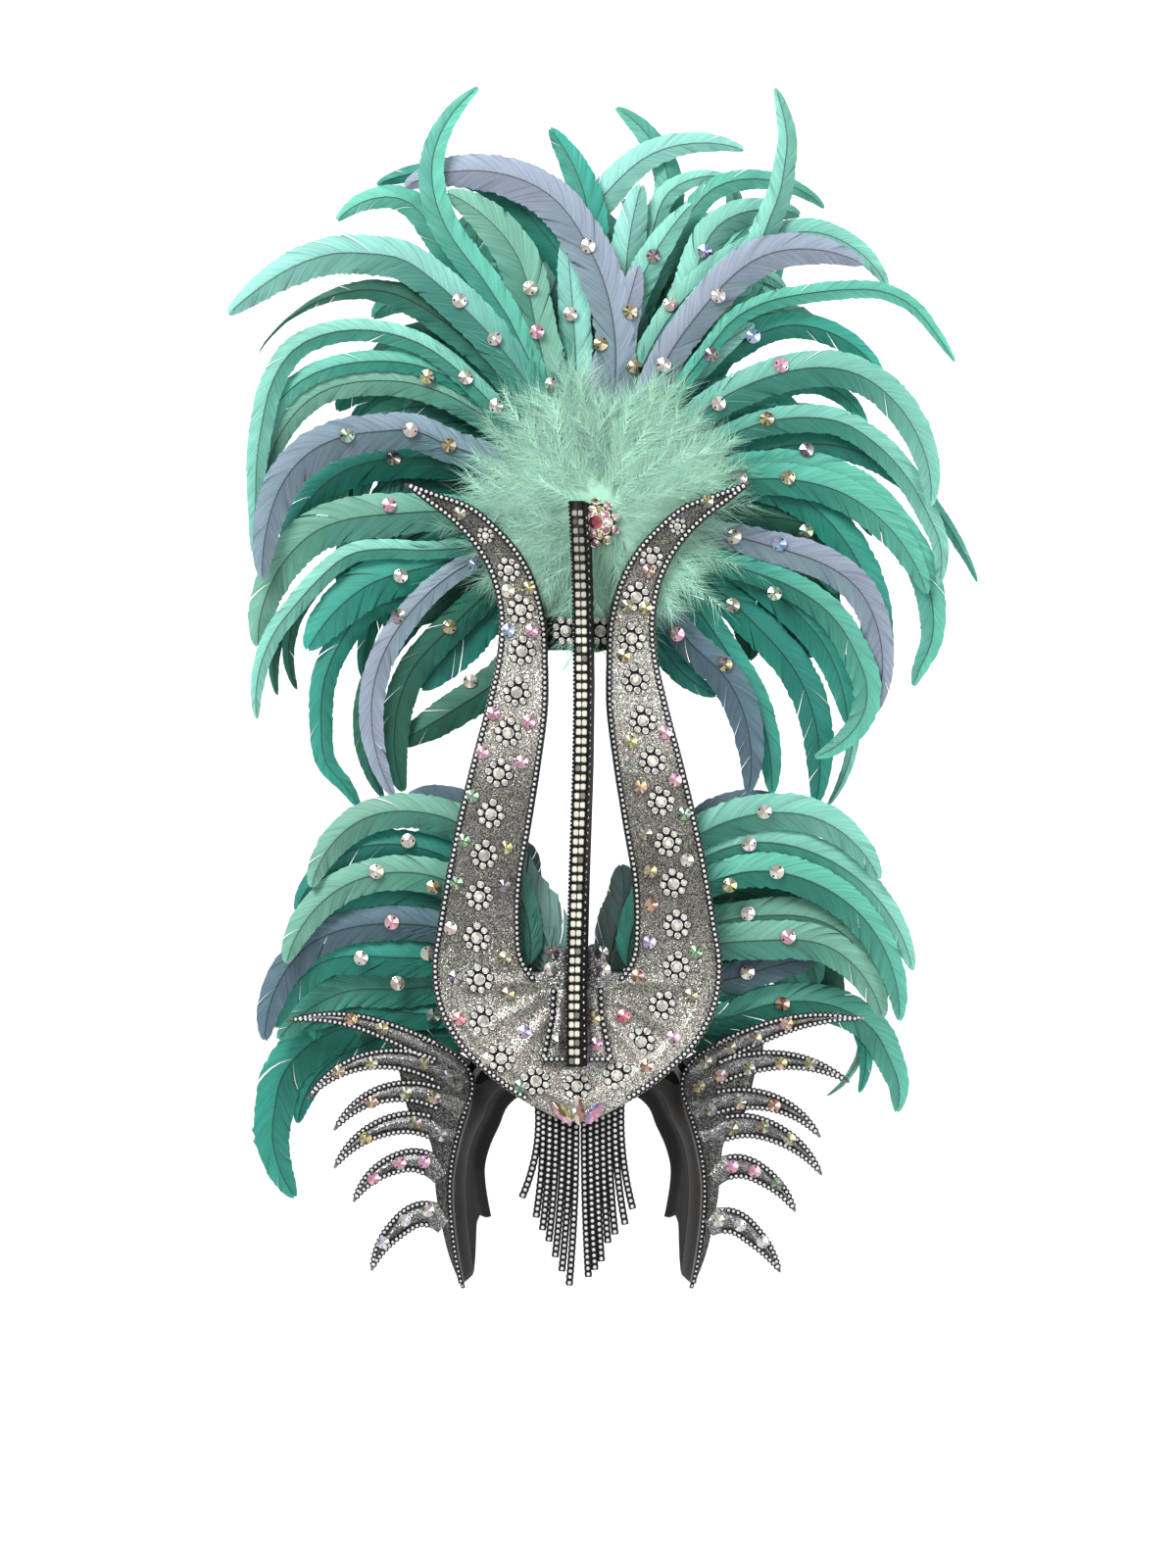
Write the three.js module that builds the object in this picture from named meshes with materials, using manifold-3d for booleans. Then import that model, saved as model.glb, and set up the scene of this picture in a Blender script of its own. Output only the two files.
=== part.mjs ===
// Showgirl feather headdress in millimetres: +Z up, front towards -Y, +X the viewer's right.
// The origin is the top of the head hollow.
import * as THREE from "three";
import { mergeVertices } from "three/addons/utils/BufferGeometryUtils.js";
import Module from "manifold-3d";

const wasm = await Module();
wasm.setup();

// Sizes shared by several pieces
const GAP = 0.3;
const FOAM = 6;
const HOOD_WALL = 4;
const HOOD_CLEAR = 0.8;
const MOUTH_Y = -62;
const WING_THICK = 5;
const WING_SWEEP = 14;
const WING_ROOT = 95;
const TRIM_RADIUS = 2;
const STRAND_RADIUS = 1.9;
const FLOWER_RADIUS = 9.5;
const FLOWER_PITCH = 29.4;
const FLOWER_LIFT = 0.9;
const LAST_FLOWER = 15;
const FLOWER_MID_Z = 4;
const TIP_FLOWERS = { 14: 0.86, 15: 0.55 };
const STONE_RADIUS = 4.7;
const FEATHER_SHARES = [0, 0.34, 0.57, 0.76, 0.91];
const FEATHER_RIDGE = 2.4;
const LEAN_BACK = 0.8;
const LEAN_REACH = 300;

// Finish of each kind of piece
const FINISHES = {
  foam: { color: 0x2b2a2b, roughness: 0.85, metalness: 0 },
  glitter: { color: 0x9a9a9c, roughness: 0.45, metalness: 0.7 },
  banding: { color: 0x1b1a1c, roughness: 0.4, metalness: 0 },
  crystal: { color: 0xe4e8ea, roughness: 0.08, metalness: 0.2 },
  aurora: { color: 0xd9d2c4, roughness: 0.06, metalness: 0.3 },
  felt: { color: 0x2d4f47, roughness: 0.95, metalness: 0 },
  down: { color: 0xa2d9bb, roughness: 0.9, metalness: 0 },
  feather: { color: 0x4fa890, roughness: 0.7, metalness: 0 },
};

// Front plane of the lyre, height against depth
const LYRE_DEPTH = [
  { z: -40, y: -111.5 },
  { z: 72, y: -93 },
  { z: 120, y: -91 },
  { z: 380, y: -91 },
  { z: 440, y: -98 },
];

// Ribs of the lyre from horn tip to bottom point: inner edge, outer edge, share where the flowers run on each side
const LYRE_RIBS = [
  { ix: 121, iz: 430, ox: 122.5, oz: 428, left: 0.5, right: 0.5 },
  { ix: 97, iz: 422, ox: 108, oz: 417, left: 0.5, right: 0.5 },
  { ix: 73, iz: 413, ox: 92, oz: 405, left: 0.5, right: 0.5 },
  { ix: 56, iz: 399, ox: 78, oz: 391, left: 0.5, right: 0.5 },
  { ix: 43, iz: 385, ox: 68, oz: 377, left: 0.5, right: 0.5 },
  { ix: 34, iz: 371, ox: 61.5, oz: 363, left: 0.5, right: 0.5 },
  { ix: 26, iz: 350, ox: 57, oz: 345, left: 0.5, right: 0.5 },
  { ix: 21.5, iz: 329, ox: 55.5, oz: 327, left: 0.5, right: 0.5 },
  { ix: 20.5, iz: 305, ox: 57.5, oz: 305, left: 0.52, right: 0.52 },
  { ix: 22.5, iz: 275, ox: 64, oz: 275, left: 0.54, right: 0.54 },
  { ix: 28.5, iz: 231, ox: 75.5, oz: 231, left: 0.55, right: 0.55 },
  { ix: 35, iz: 187, ox: 86, oz: 187, left: 0.54, right: 0.54 },
  { ix: 39, iz: 147, ox: 94, oz: 147, left: 0.53, right: 0.53 },
  { ix: 40, iz: 117, ox: 99, oz: 117, left: 0.52, right: 0.52 },
  { ix: 37, iz: 92, ox: 103, oz: 88, left: 0.51, right: 0.51 },
  { ix: 28, iz: 79, ox: 100, oz: 63, left: 0.55, right: 0.52 },
  { ix: 20, iz: 75, ox: 88, oz: 37, left: 0.68, right: 0.54 },
  { ix: 13, iz: 73, ox: 66, oz: 14, left: 0.8, right: 0.62 },
  { ix: 6, iz: 72.5, ox: 36, oz: -7, left: 0.81, right: 0.76 },
  { ix: 0, iz: 72.5, ox: 0, oz: -21, left: 0.73, right: 0.73 },
];

// A flower along its chain: distance from its middle, half width, height
const FLOWER_LOBES = [
  { at: -12, half: 1.2, high: 1.4 },
  { at: -8.4, half: 4.6, high: 2 },
  { at: -3.2, half: 9.5, high: 3.4 },
  { at: 3.2, half: 9.5, high: 3.4 },
  { at: 8.4, half: 4.6, high: 2 },
  { at: 12, half: 1.2, high: 1.4 },
];

// Arch of the hood from crown to cheek end: head band and flared mouth, inner face
const HOOD_ARCH = [
  { bx: 0, bz: 0, mx: 0, mz: 33 },
  { bx: 26, bz: 0, mx: 32, mz: 31 },
  { bx: 48, bz: -2, mx: 60, mz: 23 },
  { bx: 60, bz: -10.5, mx: 73, mz: 8 },
  { bx: 67, bz: -24.5, mx: 77, mz: -14 },
  { bx: 75, bz: -40, mx: 84, mz: -38 },
  { bx: 79.5, bz: -70, mx: 89, mz: -68 },
  { bx: 79, bz: -90, mx: 88.5, mz: -92 },
  { bx: 77, bz: -112, mx: 86, mz: -114 },
  { bx: 74, bz: -136, mx: 81.5, mz: -140 },
];

// Sections of the hood from mouth to back: flare 1 is the mouth, legs is the share of the cheek left
const HOOD_ROWS = [
  { y: MOUTH_Y, flare: 1, spread: 1, lift: 0, legs: 1 },
  { y: -52, flare: 0.5, spread: 1, lift: 0, legs: 1 },
  { y: -38, flare: 0.08, spread: 1, lift: 0, legs: 1 },
  { y: -18, flare: 0, spread: 1, lift: 0, legs: 0.9 },
  { y: 15, flare: 0, spread: 1, lift: 0, legs: 0.68 },
  { y: 50, flare: 0, spread: 0.97, lift: -4, legs: 0.6 },
  { y: 76, flare: 0, spread: 0.87, lift: -15, legs: 0.55 },
];
const CHEEK_FROM = -40;

// Root strip of a wing from top to bottom
const WING_ROWS = [
  { z: 20, inner: 72.5, outer: 84 },
  { z: 4, inner: 73.5, outer: 98 },
  { z: -14, inner: 77, outer: 104 },
  { z: -31, inner: 82.5, outer: 104 },
  { z: -50, inner: 87, outer: 103 },
  { z: -75, inner: 89, outer: 101 },
  { z: -103, inner: 87, outer: 96 },
  { z: -122, inner: 84.5, outer: 91 },
  { z: -143, inner: 80, outer: 82 },
];

// Claws of a wing: the middle line passes base, mid and bend to the tip
const CLAWS = [
  { baseX: 82, baseZ: 8, midX: 122, midZ: 34, bendX: 165, bendZ: 48, tipX: 208, tipZ: 47, wide: 14 },
  { baseX: 88, baseZ: 2, midX: 116, midZ: 17, bendX: 155, bendZ: 17, tipX: 197, tipZ: -6, wide: 13 },
  { baseX: 90, baseZ: -14, midX: 112, midZ: -5, bendX: 142, bendZ: -8, tipX: 175, tipZ: -34, wide: 13 },
  { baseX: 92, baseZ: -34, midX: 116, midZ: -25, bendX: 143, bendZ: -33, tipX: 175, tipZ: -61, wide: 13 },
  { baseX: 92, baseZ: -62, midX: 113, midZ: -54, bendX: 134, bendZ: -58, tipX: 158, tipZ: -86, wide: 13 },
  { baseX: 91, baseZ: -95, midX: 108, midZ: -91, bendX: 130, bendZ: -104, tipX: 146, tipZ: -132, wide: 13 },
];

// Bottoms of the notches between one claw and the next
const NOTCHES = [
  { x: 121, z: 27 },
  { x: 113, z: 5 },
  { x: 112, z: -17 },
  { x: 104, z: -43 },
  { x: 101, z: -77 },
];

// Sections of the fin: sideways shift of its front, front and back depth
const SPINE_ROWS = [
  { z: 19, shift: -1.8, front: -121, back: -112 },
  { z: 70, shift: -2, front: -122, back: -103.5 },
  { z: 78, shift: -1.8, front: -122, back: -94 },
  { z: 106, shift: -1, front: -122, back: -94 },
  { z: 147, shift: 0, front: -122, back: -89 },
  { z: 231, shift: 2.8, front: -122, back: -87 },
  { z: 287, shift: 3.5, front: -122, back: -85 },
  { z: 343, shift: 2.8, front: -121, back: -85 },
  { z: 385, shift: 1.7, front: -118, back: -85 },
  { z: 416, shift: -0.4, front: -111, back: -86 },
];
const SPINE_FRONT_HALF = 5;
const SPINE_BACK_LEFT = 4;
const SPINE_BACK_RIGHT = 9;

// Feathers: the quill passes shoulder and bend to the tip, x and z; back is the depth behind the foremost
const UPPER_LEFT = [
  { sx: -80, sz: 594, bx: -104, bz: 658, tx: -70, tz: 715, wide: 21, back: 3 },
  { sx: 11, sz: 595, bx: -20, bz: 640, tx: -124, tz: 645, wide: 22, back: 9 },
  { sx: 8, sz: 567, bx: 2, bz: 648, tx: -20, tz: 686, wide: 17, back: 27 },
  { sx: -94, sz: 602, bx: -129, bz: 638, tx: -172, tz: 619, wide: 17, back: 18 },
  { sx: -17, sz: 602, bx: -76, bz: 650, tx: -144, tz: 644, wide: 16, back: 22 },
  { sx: -29, sz: 540, bx: -45, bz: 598, tx: -94, tz: 640, wide: 32, back: 6 },
  { sx: -85, sz: 561, bx: -150, bz: 596, tx: -250, tz: 552, wide: 29, back: 0 },
  { sx: -80, sz: 535, bx: -146, bz: 570, tx: -228, tz: 524, wide: 20, back: 9 },
  { sx: -111, sz: 531, bx: -202, bz: 528, tx: -232, tz: 382, wide: 18, back: 14 },
  { sx: -132, sz: 519, bx: -204, bz: 500, tx: -227, tz: 410, wide: 15, back: 18 },
  { sx: -132, sz: 505, bx: -188, bz: 494, tx: -222, tz: 427, wide: 22, back: 22 },
  { sx: -119, sz: 470, bx: -195, bz: 451, tx: -225, tz: 362, wide: 29, back: 7 },
  { sx: -118, sz: 450, bx: -171, bz: 439, tx: -209, tz: 385, wide: 24, back: 26 },
  { sx: -118, sz: 412, bx: -185, bz: 398, tx: -228, tz: 312, wide: 30, back: 18 },
  { sx: -136, sz: 385, bx: -202, bz: 344, tx: -229, tz: 263, wide: 16, back: 10 },
  { sx: -132, sz: 396, bx: -195, bz: 357, tx: -200, tz: 284, wide: 13, back: 30 },
  { sx: -132, sz: 399, bx: -206, bz: 364, tx: -214, tz: 280, wide: 13, back: 34 },
  { sx: -97, sz: 375, bx: -153, bz: 357, tx: -193, tz: 312, wide: 34, back: 14 },
  { sx: -143, sz: 345, bx: -182, bz: 277, tx: -155, tz: 199, wide: 20, back: 19 },
  { sx: -108, sz: 352, bx: -144, bz: 294, tx: -130, tz: 207, wide: 20, back: 8 },
  { sx: -125, sz: 333, bx: -165, bz: 277, tx: -146, tz: 207, wide: 16, back: 26 },
  { sx: -83, sz: 336, bx: -122, bz: 291, tx: -124, tz: 211, wide: 24, back: 16 },
  { sx: -48, sz: 301, bx: -90, bz: 272, tx: -131, tz: 247, wide: 22, back: 23 },
  { sx: -1, sz: 518, bx: -4, bz: 567, tx: -8, tz: 610, wide: 25, back: 13 },
  { sx: -27, sz: 497, bx: -45, bz: 546, tx: -59, tz: 588, wide: 30, back: 12 },
  { sx: 16, sz: 497, bx: 22, bz: 539, tx: 36, tz: 574, wide: 20, back: 13 },
  { sx: 16, sz: 634, bx: 57, bz: 672, tx: 120, tz: 671, wide: 24, back: 32 },
  { sx: 55, sz: 588, bx: 63, bz: 658, tx: 27, tz: 701, wide: 22, back: 36 },
  { sx: 36, sz: 553, bx: 55, bz: 596, tx: 82, tz: 632, wide: 16, back: 17 },
  { sx: 36, sz: 546, bx: 38, bz: 598, tx: 50, tz: 642, wide: 22, back: 23 },
];
const UPPER_RIGHT = [
  { sx: 50, sz: 595, bx: 69, bz: 643, tx: 109, tz: 650, wide: 14, back: 29 },
  { sx: 64, sz: 595, bx: 102, bz: 645, tx: 177, tz: 628, wide: 15, back: 26 },
  { sx: 120, sz: 594, bx: 148, bz: 651, tx: 141, tz: 715, wide: 21, back: 7 },
  { sx: 116, sz: 595, bx: 172, bz: 612, tx: 222, tz: 572, wide: 22, back: 13 },
  { sx: 81, sz: 546, bx: 141, bz: 595, tx: 216, tz: 572, wide: 27, back: 2 },
  { sx: 106, sz: 541, bx: 190, bz: 570, tx: 270, tz: 518, wide: 14, back: 6 },
  { sx: 71, sz: 497, bx: 96, bz: 524, tx: 127, tz: 546, wide: 20, back: 10 },
  { sx: 106, sz: 525, bx: 155, bz: 545, tx: 218, tz: 507, wide: 22, back: 14 },
  { sx: 109, sz: 496, bx: 204, bz: 512, tx: 255, tz: 415, wide: 32, back: 4 },
  { sx: 120, sz: 490, bx: 176, bz: 502, tx: 207, tz: 471, wide: 18, back: 18 },
  { sx: 120, sz: 471, bx: 211, bz: 462, tx: 258, tz: 359, wide: 22, back: 9 },
  { sx: 183, sz: 480, bx: 246, bz: 427, tx: 286, tz: 361, wide: 9, back: 24 },
  { sx: 127, sz: 450, bx: 190, bz: 450, tx: 249, tz: 410, wide: 20, back: 20 },
  { sx: 116, sz: 434, bx: 197, bz: 424, tx: 253, tz: 356, wide: 28, back: 7 },
  { sx: 204, sz: 427, bx: 249, bz: 357, tx: 240, tz: 286, wide: 22, back: 12 },
  { sx: 148, sz: 427, bx: 214, bz: 364, tx: 216, tz: 273, wide: 28, back: 16 },
  { sx: 120, sz: 409, bx: 169, bz: 400, tx: 204, tz: 354, wide: 22, back: 20 },
  { sx: 127, sz: 390, bx: 204, bz: 352, tx: 210, tz: 265, wide: 24, back: 4 },
  { sx: 155, sz: 357, bx: 205, bz: 291, tx: 169, tz: 236, wide: 22, back: 0 },
  { sx: 141, sz: 353, bx: 176, bz: 317, tx: 193, tz: 259, wide: 20, back: 10 },
  { sx: 120, sz: 338, bx: 163, bz: 288, tx: 172, tz: 201, wide: 20, back: 15 },
  { sx: 102, sz: 319, bx: 130, bz: 270, tx: 139, tz: 209, wide: 22, back: 12 },
  { sx: 78, sz: 321, bx: 109, bz: 289, tx: 122, tz: 210, wide: 24, back: 6 },
  { sx: 53, sz: 329, bx: 78, bz: 294, tx: 100, tz: 280, wide: 20, back: 19 },
  { sx: 176, sz: 322, bx: 198, bz: 259, tx: 178, tz: 200, wide: 11, back: 24 },
  { sx: 78, sz: 560, bx: 106, bz: 620, tx: 160, tz: 623, wide: 26, back: 18 },
  { sx: 92, sz: 553, bx: 106, bz: 598, tx: 128, tz: 620, wide: 14, back: 22 },
];
const LOWER_LEFT = [
  { sx: -55, sz: 161, bx: -85, bz: 209, tx: -122, tz: 214, wide: 20, back: 22 },
  { sx: -97, sz: 196, bx: -160, bz: 193, tx: -193, tz: 144, wide: 22, back: 0 },
  { sx: -104, sz: 169, bx: -157, bz: 171, tx: -201, tz: 126, wide: 20, back: 7 },
  { sx: -111, sz: 153, bx: -167, bz: 144, tx: -208, tz: 88, wide: 22, back: 3 },
  { sx: -97, sz: 133, bx: -139, bz: 141, tx: -192, tz: 105, wide: 20, back: 15 },
  { sx: -118, sz: 117, bx: -195, bz: 99, tx: -223, tz: 33, wide: 22, back: 11 },
  { sx: -125, sz: 93, bx: -185, bz: 88, tx: -216, tz: 42, wide: 24, back: 19 },
  { sx: -118, sz: 71, bx: -171, bz: 67, tx: -214, tz: 34, wide: 22, back: 34 },
  { sx: -111, sz: 53, bx: -150, bz: 58, tx: -197, tz: 41, wide: 20, back: 38 },
  { sx: -153, sz: 48, bx: -220, bz: -14, tx: -201, tz: -79, wide: 24, back: 42 },
  { sx: -139, sz: 37, bx: -185, bz: 10, tx: -200, tz: -26, wide: 18, back: 46 },
  { sx: -33, sz: 112, bx: -34, bz: 143, tx: -36, tz: 176, wide: 18, back: 26 },
];
const LOWER_RIGHT = [
  { sx: 71, sz: 175, bx: 102, bz: 204, tx: 148, tz: 209, wide: 20, back: 26 },
  { sx: 106, sz: 190, bx: 179, bz: 189, tx: 216, tz: 148, wide: 24, back: 0 },
  { sx: 122, sz: 176, bx: 197, bz: 157, tx: 244, tz: 83, wide: 21, back: 7 },
  { sx: 130, sz: 155, bx: 204, bz: 122, tx: 230, tz: 47, wide: 22, back: 3 },
  { sx: 122, sz: 122, bx: 183, bz: 115, tx: 218, tz: 56, wide: 22, back: 15 },
  { sx: 127, sz: 105, bx: 183, bz: 99, tx: 218, tz: 49, wide: 24, back: 11 },
  { sx: 141, sz: 60, bx: 207, bz: 45, tx: 228, tz: -18, wide: 26, back: 34 },
  { sx: 148, sz: 49, bx: 197, bz: 31, tx: 201, tz: -4, wide: 16, back: 38 },
  { sx: 141, sz: 42, bx: 191, bz: 28, tx: 178, tz: -6, wide: 8, back: 42 },
  { sx: 106, sz: 77, bx: 141, bz: 87, tx: 176, tz: 94, wide: 20, back: 26 },
  { sx: 31, sz: 105, bx: 31, bz: 133, tx: 32, tz: 155, wide: 16, back: 30 },
];

// Strands of the fringe: where they leave the lyre, and where they end
const STRANDS = [
  { top: -28, endX: -39, endZ: -75 },
  { top: -24, endX: -29, endZ: -89 },
  { top: -19.5, endX: -24.5, endZ: -98 },
  { top: -15, endX: -20, endZ: -106 },
  { top: -10, endX: -15.5, endZ: -117 },
  { top: -5.3, endX: -10.8, endZ: -127 },
  { top: -0.7, endX: -5.6, endZ: -137 },
  { top: 5, endX: 8, endZ: -131 },
  { top: 9.4, endX: 12.6, endZ: -126 },
  { top: 13.8, endX: 17.2, endZ: -120 },
  { top: 18.2, endX: 21.8, endZ: -107 },
  { top: 22.6, endX: 26.8, endZ: -101 },
  { top: 27, endX: 34, endZ: -94 },
  { top: 31.4, endX: 39.4, endZ: -83 },
];
const FRINGE_Y = -97;
const FRINGE_KNEE = -35;

// Marquise stones: upper and lower point
const MARQUISES = {
  marquise_left: { x0: -17, z0: -7, x1: -4, z1: -22 },
  marquise_mid: { x0: 1, z0: -3, x1: 1, z1: -23 },
  marquise_right: { x0: 18, z0: -7, x1: 6, z1: -22 },
};
const MARQUISE_HALF = 4.2;

// Larger sew-on stones on the lyre
const LYRE_STONES = [
  { x: -83, z: 408 },
  { x: -33, z: 262 },
  { x: -63, z: 236 },
  { x: -40, z: 234 },
  { x: -70, z: 207 },
  { x: -77.5, z: 176 },
  { x: -83, z: 147 },
  { x: -52, z: 147 },
  { x: -51, z: 92 },
  { x: -83, z: 51 },
  { x: 83, z: 408 },
  { x: 59, z: 252 },
  { x: 38, z: 247 },
  { x: 67.5, z: 221 },
  { x: 73.5, z: 193 },
  { x: 49, z: 190 },
  { x: 79, z: 162 },
  { x: 52, z: 132 },
  { x: 84, z: 97 },
  { x: 68, z: 37 },
];
const CREST_STONES = [
  { x: -17.5, z: 98 },
  { x: -19, z: 86 },
  { x: 17.5, z: 98 },
  { x: 19, z: 86 },
];

// Plume roots and backing
const HUB_LEFT = { x: -5, z: 400, halfX: 25, halfZ: 27, start: 18 };
const HUB_RIGHT = { x: 34, z: 400, halfX: 13.7, halfZ: 24, start: 7 };
const HUB_LOW = { x: 34, z: 82, halfX: 9.7, halfZ: 23, start: 3 };
const HUB_LOW_LEFT = { ...HUB_LOW, x: -HUB_LOW.x };
const PLUME_EYE = { x: 8, z: 400 };
const UPPER_FRONT = -73;
const LOWER_FRONT = -80;
const SHIELD = { x: 7, z: 376, halfX: 56, halfZ: 66, front: -77.2, back: -73.5 };
const YOKE = { half: 50, low: 312, high: 336, front: -84.7, recess: -81.6, back: -77.5, pad: 26 };
const DOWN = { x: 8, z: 404, front: -84.4, back: -77.6, disc: 40, locks: 15 };
const BROOCH = { x: 14, z: 404, radius: 15, back: -78.5 };
const CREST = { half: 24, low: 4, high: 104, front: -93, back: -20 };
const FOOT = { top: 72, bottom: 21, halfTop: 17.5, halfBottom: 25, thick: 6 };

// Small tools

const { lerp, degToRad } = THREE.MathUtils;
const V = (x, y, z) => new THREE.Vector3(x, y, z);
const group = new THREE.Group();

function put(name, geometry, finish) {
  const mesh = new THREE.Mesh(geometry, new THREE.MeshStandardMaterial(FINISHES[finish]));
  mesh.name = name;
  group.add(mesh);
}

// Height of a column between the rows of a table, on a straight line
function between(rows, key, at, column) {
  const last = rows.length - 1;
  let i = rows.findIndex((row) => row[key] >= at);
  if (i < 0) i = last;
  if (i === 0) i = 1;
  const a = rows[i - 1];
  const b = rows[i];
  const share = THREE.MathUtils.clamp((at - a[key]) / (b[key] - a[key]), 0, 1);
  return lerp(a[column], b[column], share);
}

function faces(points, triangles) {
  const flat = points.flatMap((p) => [p.x, p.y, p.z]);
  const geometry = new THREE.BufferGeometry();
  geometry.setAttribute("position", new THREE.Float32BufferAttribute(flat, 3));
  let volume = 0;
  for (const [a, b, c] of triangles)
    volume += points[a].dot(points[b].clone().cross(points[c]));
  const out = volume < 0 ? triangles.map(([a, b, c]) => [a, c, b]) : triangles;
  geometry.setIndex(out.flat());
  return geometry;
}

// Closed skin over rings of points: a ring of one point is a tip, a lid is a fan or an arch
function skin(rings, lid = "fan") {
  const points = rings.flat();
  const first = rings.map((_, r) => rings.slice(0, r).flat().length);
  const triangles = [];
  for (let r = 0; r + 1 < rings.length; r++) {
    const a = rings[r].length;
    const b = rings[r + 1].length;
    const n = Math.max(a, b);
    for (let i = 0; i < n; i++) {
      const j = (i + 1) % n;
      const s = first[r + 1] + (b > 1 ? i : 0);
      if (a > 1) triangles.push([first[r] + i, first[r] + j, s]);
      if (b > 1) triangles.push([first[r] + (a > 1 ? j : 0), first[r + 1] + j, s]);
    }
  }
  const close = (r, turn) => {
    const n = rings[r].length;
    const f = first[r];
    const add = (a, b, c) => triangles.push(turn ? [f + a, f + c, f + b] : [f + a, f + b, f + c]);
    if (n < 3) return;
    if (lid === "fan") for (let i = 1; i + 1 < n; i++) add(0, i, i + 1);
    else
      for (let i = 0; i + 1 < n / 2; i++) {
        add(i, i + 1, n - 2 - i);
        add(i, n - 2 - i, n - 1 - i);
      }
  };
  close(0, true);
  close(rings.length - 1, false);
  return faces(points, triangles);
}

function solid(geometry) {
  const bare = new THREE.BufferGeometry();
  bare.setAttribute("position", geometry.getAttribute("position"));
  if (geometry.index) bare.setIndex(geometry.index);
  const merged = mergeVertices(bare, 1e-4);
  return new wasm.Manifold(
    new wasm.Mesh({
      numProp: 3,
      vertProperties: new Float32Array(merged.attributes.position.array),
      triVerts: new Uint32Array(merged.index.array),
    }),
  );
}

function surface(body) {
  const made = body.getMesh();
  const geometry = new THREE.BufferGeometry();
  geometry.setAttribute("position", new THREE.BufferAttribute(made.vertProperties, 3));
  return geometry.setIndex(new THREE.BufferAttribute(made.triVerts, 1));
}

const fuse = (list) => surface(list.map(solid).reduce((a, b) => a.add(b)));
const cut = (whole, ...tools) =>
  surface(tools.map(solid).reduce((a, b) => a.subtract(b), solid(whole)));

function box(x0, x1, y0, y1, z0, z1) {
  const made = new THREE.BoxGeometry(x1 - x0, y1 - y0, z1 - z0);
  return made.translate((x0 + x1) / 2, (y0 + y1) / 2, (z0 + z1) / 2);
}

function tube(points, radius, sides, steps) {
  const ring = new THREE.Shape();
  for (let i = 0; i < sides; i++) {
    const angle = (i / sides) * 2 * Math.PI;
    ring[i ? "lineTo" : "moveTo"](radius * Math.cos(angle), radius * Math.sin(angle));
  }
  ring.closePath();
  const extrudePath = new THREE.CatmullRomCurve3(points, false, "centripetal");
  return new THREE.ExtrudeGeometry(ring, { steps, extrudePath, bevelEnabled: false });
}

const lyreY = (z) => between(LYRE_DEPTH, "z", z, "y");
const lyreTilt = (z) => -Math.atan2(lyreY(z + 5) - lyreY(z - 5), 10);

// A piece made flat on y = 0 and rising towards -Y, laid on the front of the lyre
const onLyre = (geometry, x, z, lift) =>
  geometry.rotateX(lyreTilt(z)).translate(x, lyreY(z) - lift, z);

// A cut stone: outline, slanted crown of as many facets, flat table
function stone(outline, height, table) {
  const foot = outline.map((p) => V(p.x, 0, p.y));
  const top = outline.map((p) => V(p.x * table, -height, p.y * table));
  return skin([foot, top]);
}

const ringOf = (count, radius) =>
  Array.from({ length: count }, (_, i) => {
    const angle = ((i + 0.5) / count) * 2 * Math.PI;
    const r = radius(i);
    return new THREE.Vector2(r * Math.cos(angle), r * Math.sin(angle));
  });

const roundStone = (radius) => stone(ringOf(8, () => radius), radius * 0.55, 0.5);
const flower = (radius) =>
  stone(ringOf(12, (i) => radius * (i % 2 ? 0.78 : 1)), radius * 0.36, 0.45);

// Hood

function archAt(row) {
  const half = HOOD_ARCH.map((p) => {
    const z = lerp(p.bz, p.mz, row.flare);
    const cheek = z < CHEEK_FROM ? CHEEK_FROM + (z - CHEEK_FROM) * row.legs : z;
    return new THREE.Vector2(lerp(p.bx, p.mx, row.flare) * row.spread, cheek + row.lift);
  });
  const left = half.slice(1).map((p) => new THREE.Vector2(-p.x, p.y));
  return [...left.reverse(), ...half];
}

function grownArch(points, by) {
  return points.map((p, i) => {
    const a = points[Math.max(i - 1, 0)];
    const b = points[Math.min(i + 1, points.length - 1)];
    const along = b.clone().sub(a).normalize();
    return new THREE.Vector2(p.x - along.y * by, p.y + along.x * by);
  });
}

function hood() {
  const rings = HOOD_ROWS.map((row) => {
    const inner = archAt(row);
    const outer = grownArch(inner, HOOD_WALL);
    return [...inner, ...outer.reverse()].map((p) => V(p.x, row.y, p.y));
  });
  return skin(rings, "arch");
}

// The room that the hood takes up with all that is under it, to cut other pieces by
function hoodRoom() {
  const rings = HOOD_ROWS.map((row) =>
    grownArch(archAt(row), HOOD_WALL + HOOD_CLEAR).map((p) => V(p.x, row.y, p.y)),
  );
  rings[0].forEach((p) => (p.y -= GAP));
  return skin(rings);
}

put("cap", hood(), "foam");

// Wings

const sweep = (x) => WING_SWEEP * Math.max(0, (x - WING_ROOT) / 113) ** 1.5;
const wingBack = (x) => MOUTH_Y - GAP + sweep(x);

function wingSection(a, b) {
  const mid = a.clone().lerp(b, 0.5);
  const at = (p, front) => V(p.x, wingBack(mid.x) - front, p.y);
  return [
    at(a, 0),
    at(b, 0),
    at(b, WING_THICK - 2),
    at(mid, WING_THICK),
    at(a, WING_THICK - 2),
  ];
}

function clawLine(claw) {
  return new THREE.SplineCurve([
    new THREE.Vector2(claw.baseX, claw.baseZ),
    new THREE.Vector2(claw.midX, claw.midZ),
    new THREE.Vector2(claw.bendX, claw.bendZ),
    new THREE.Vector2(claw.tipX, claw.tipZ),
  ]);
}

const clawHalf = (claw, t) => (claw.wide / 2) * Math.min(1, 1.25 - 0.25 * t) * (1 - t ** 2.2) + 0.9;

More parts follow.
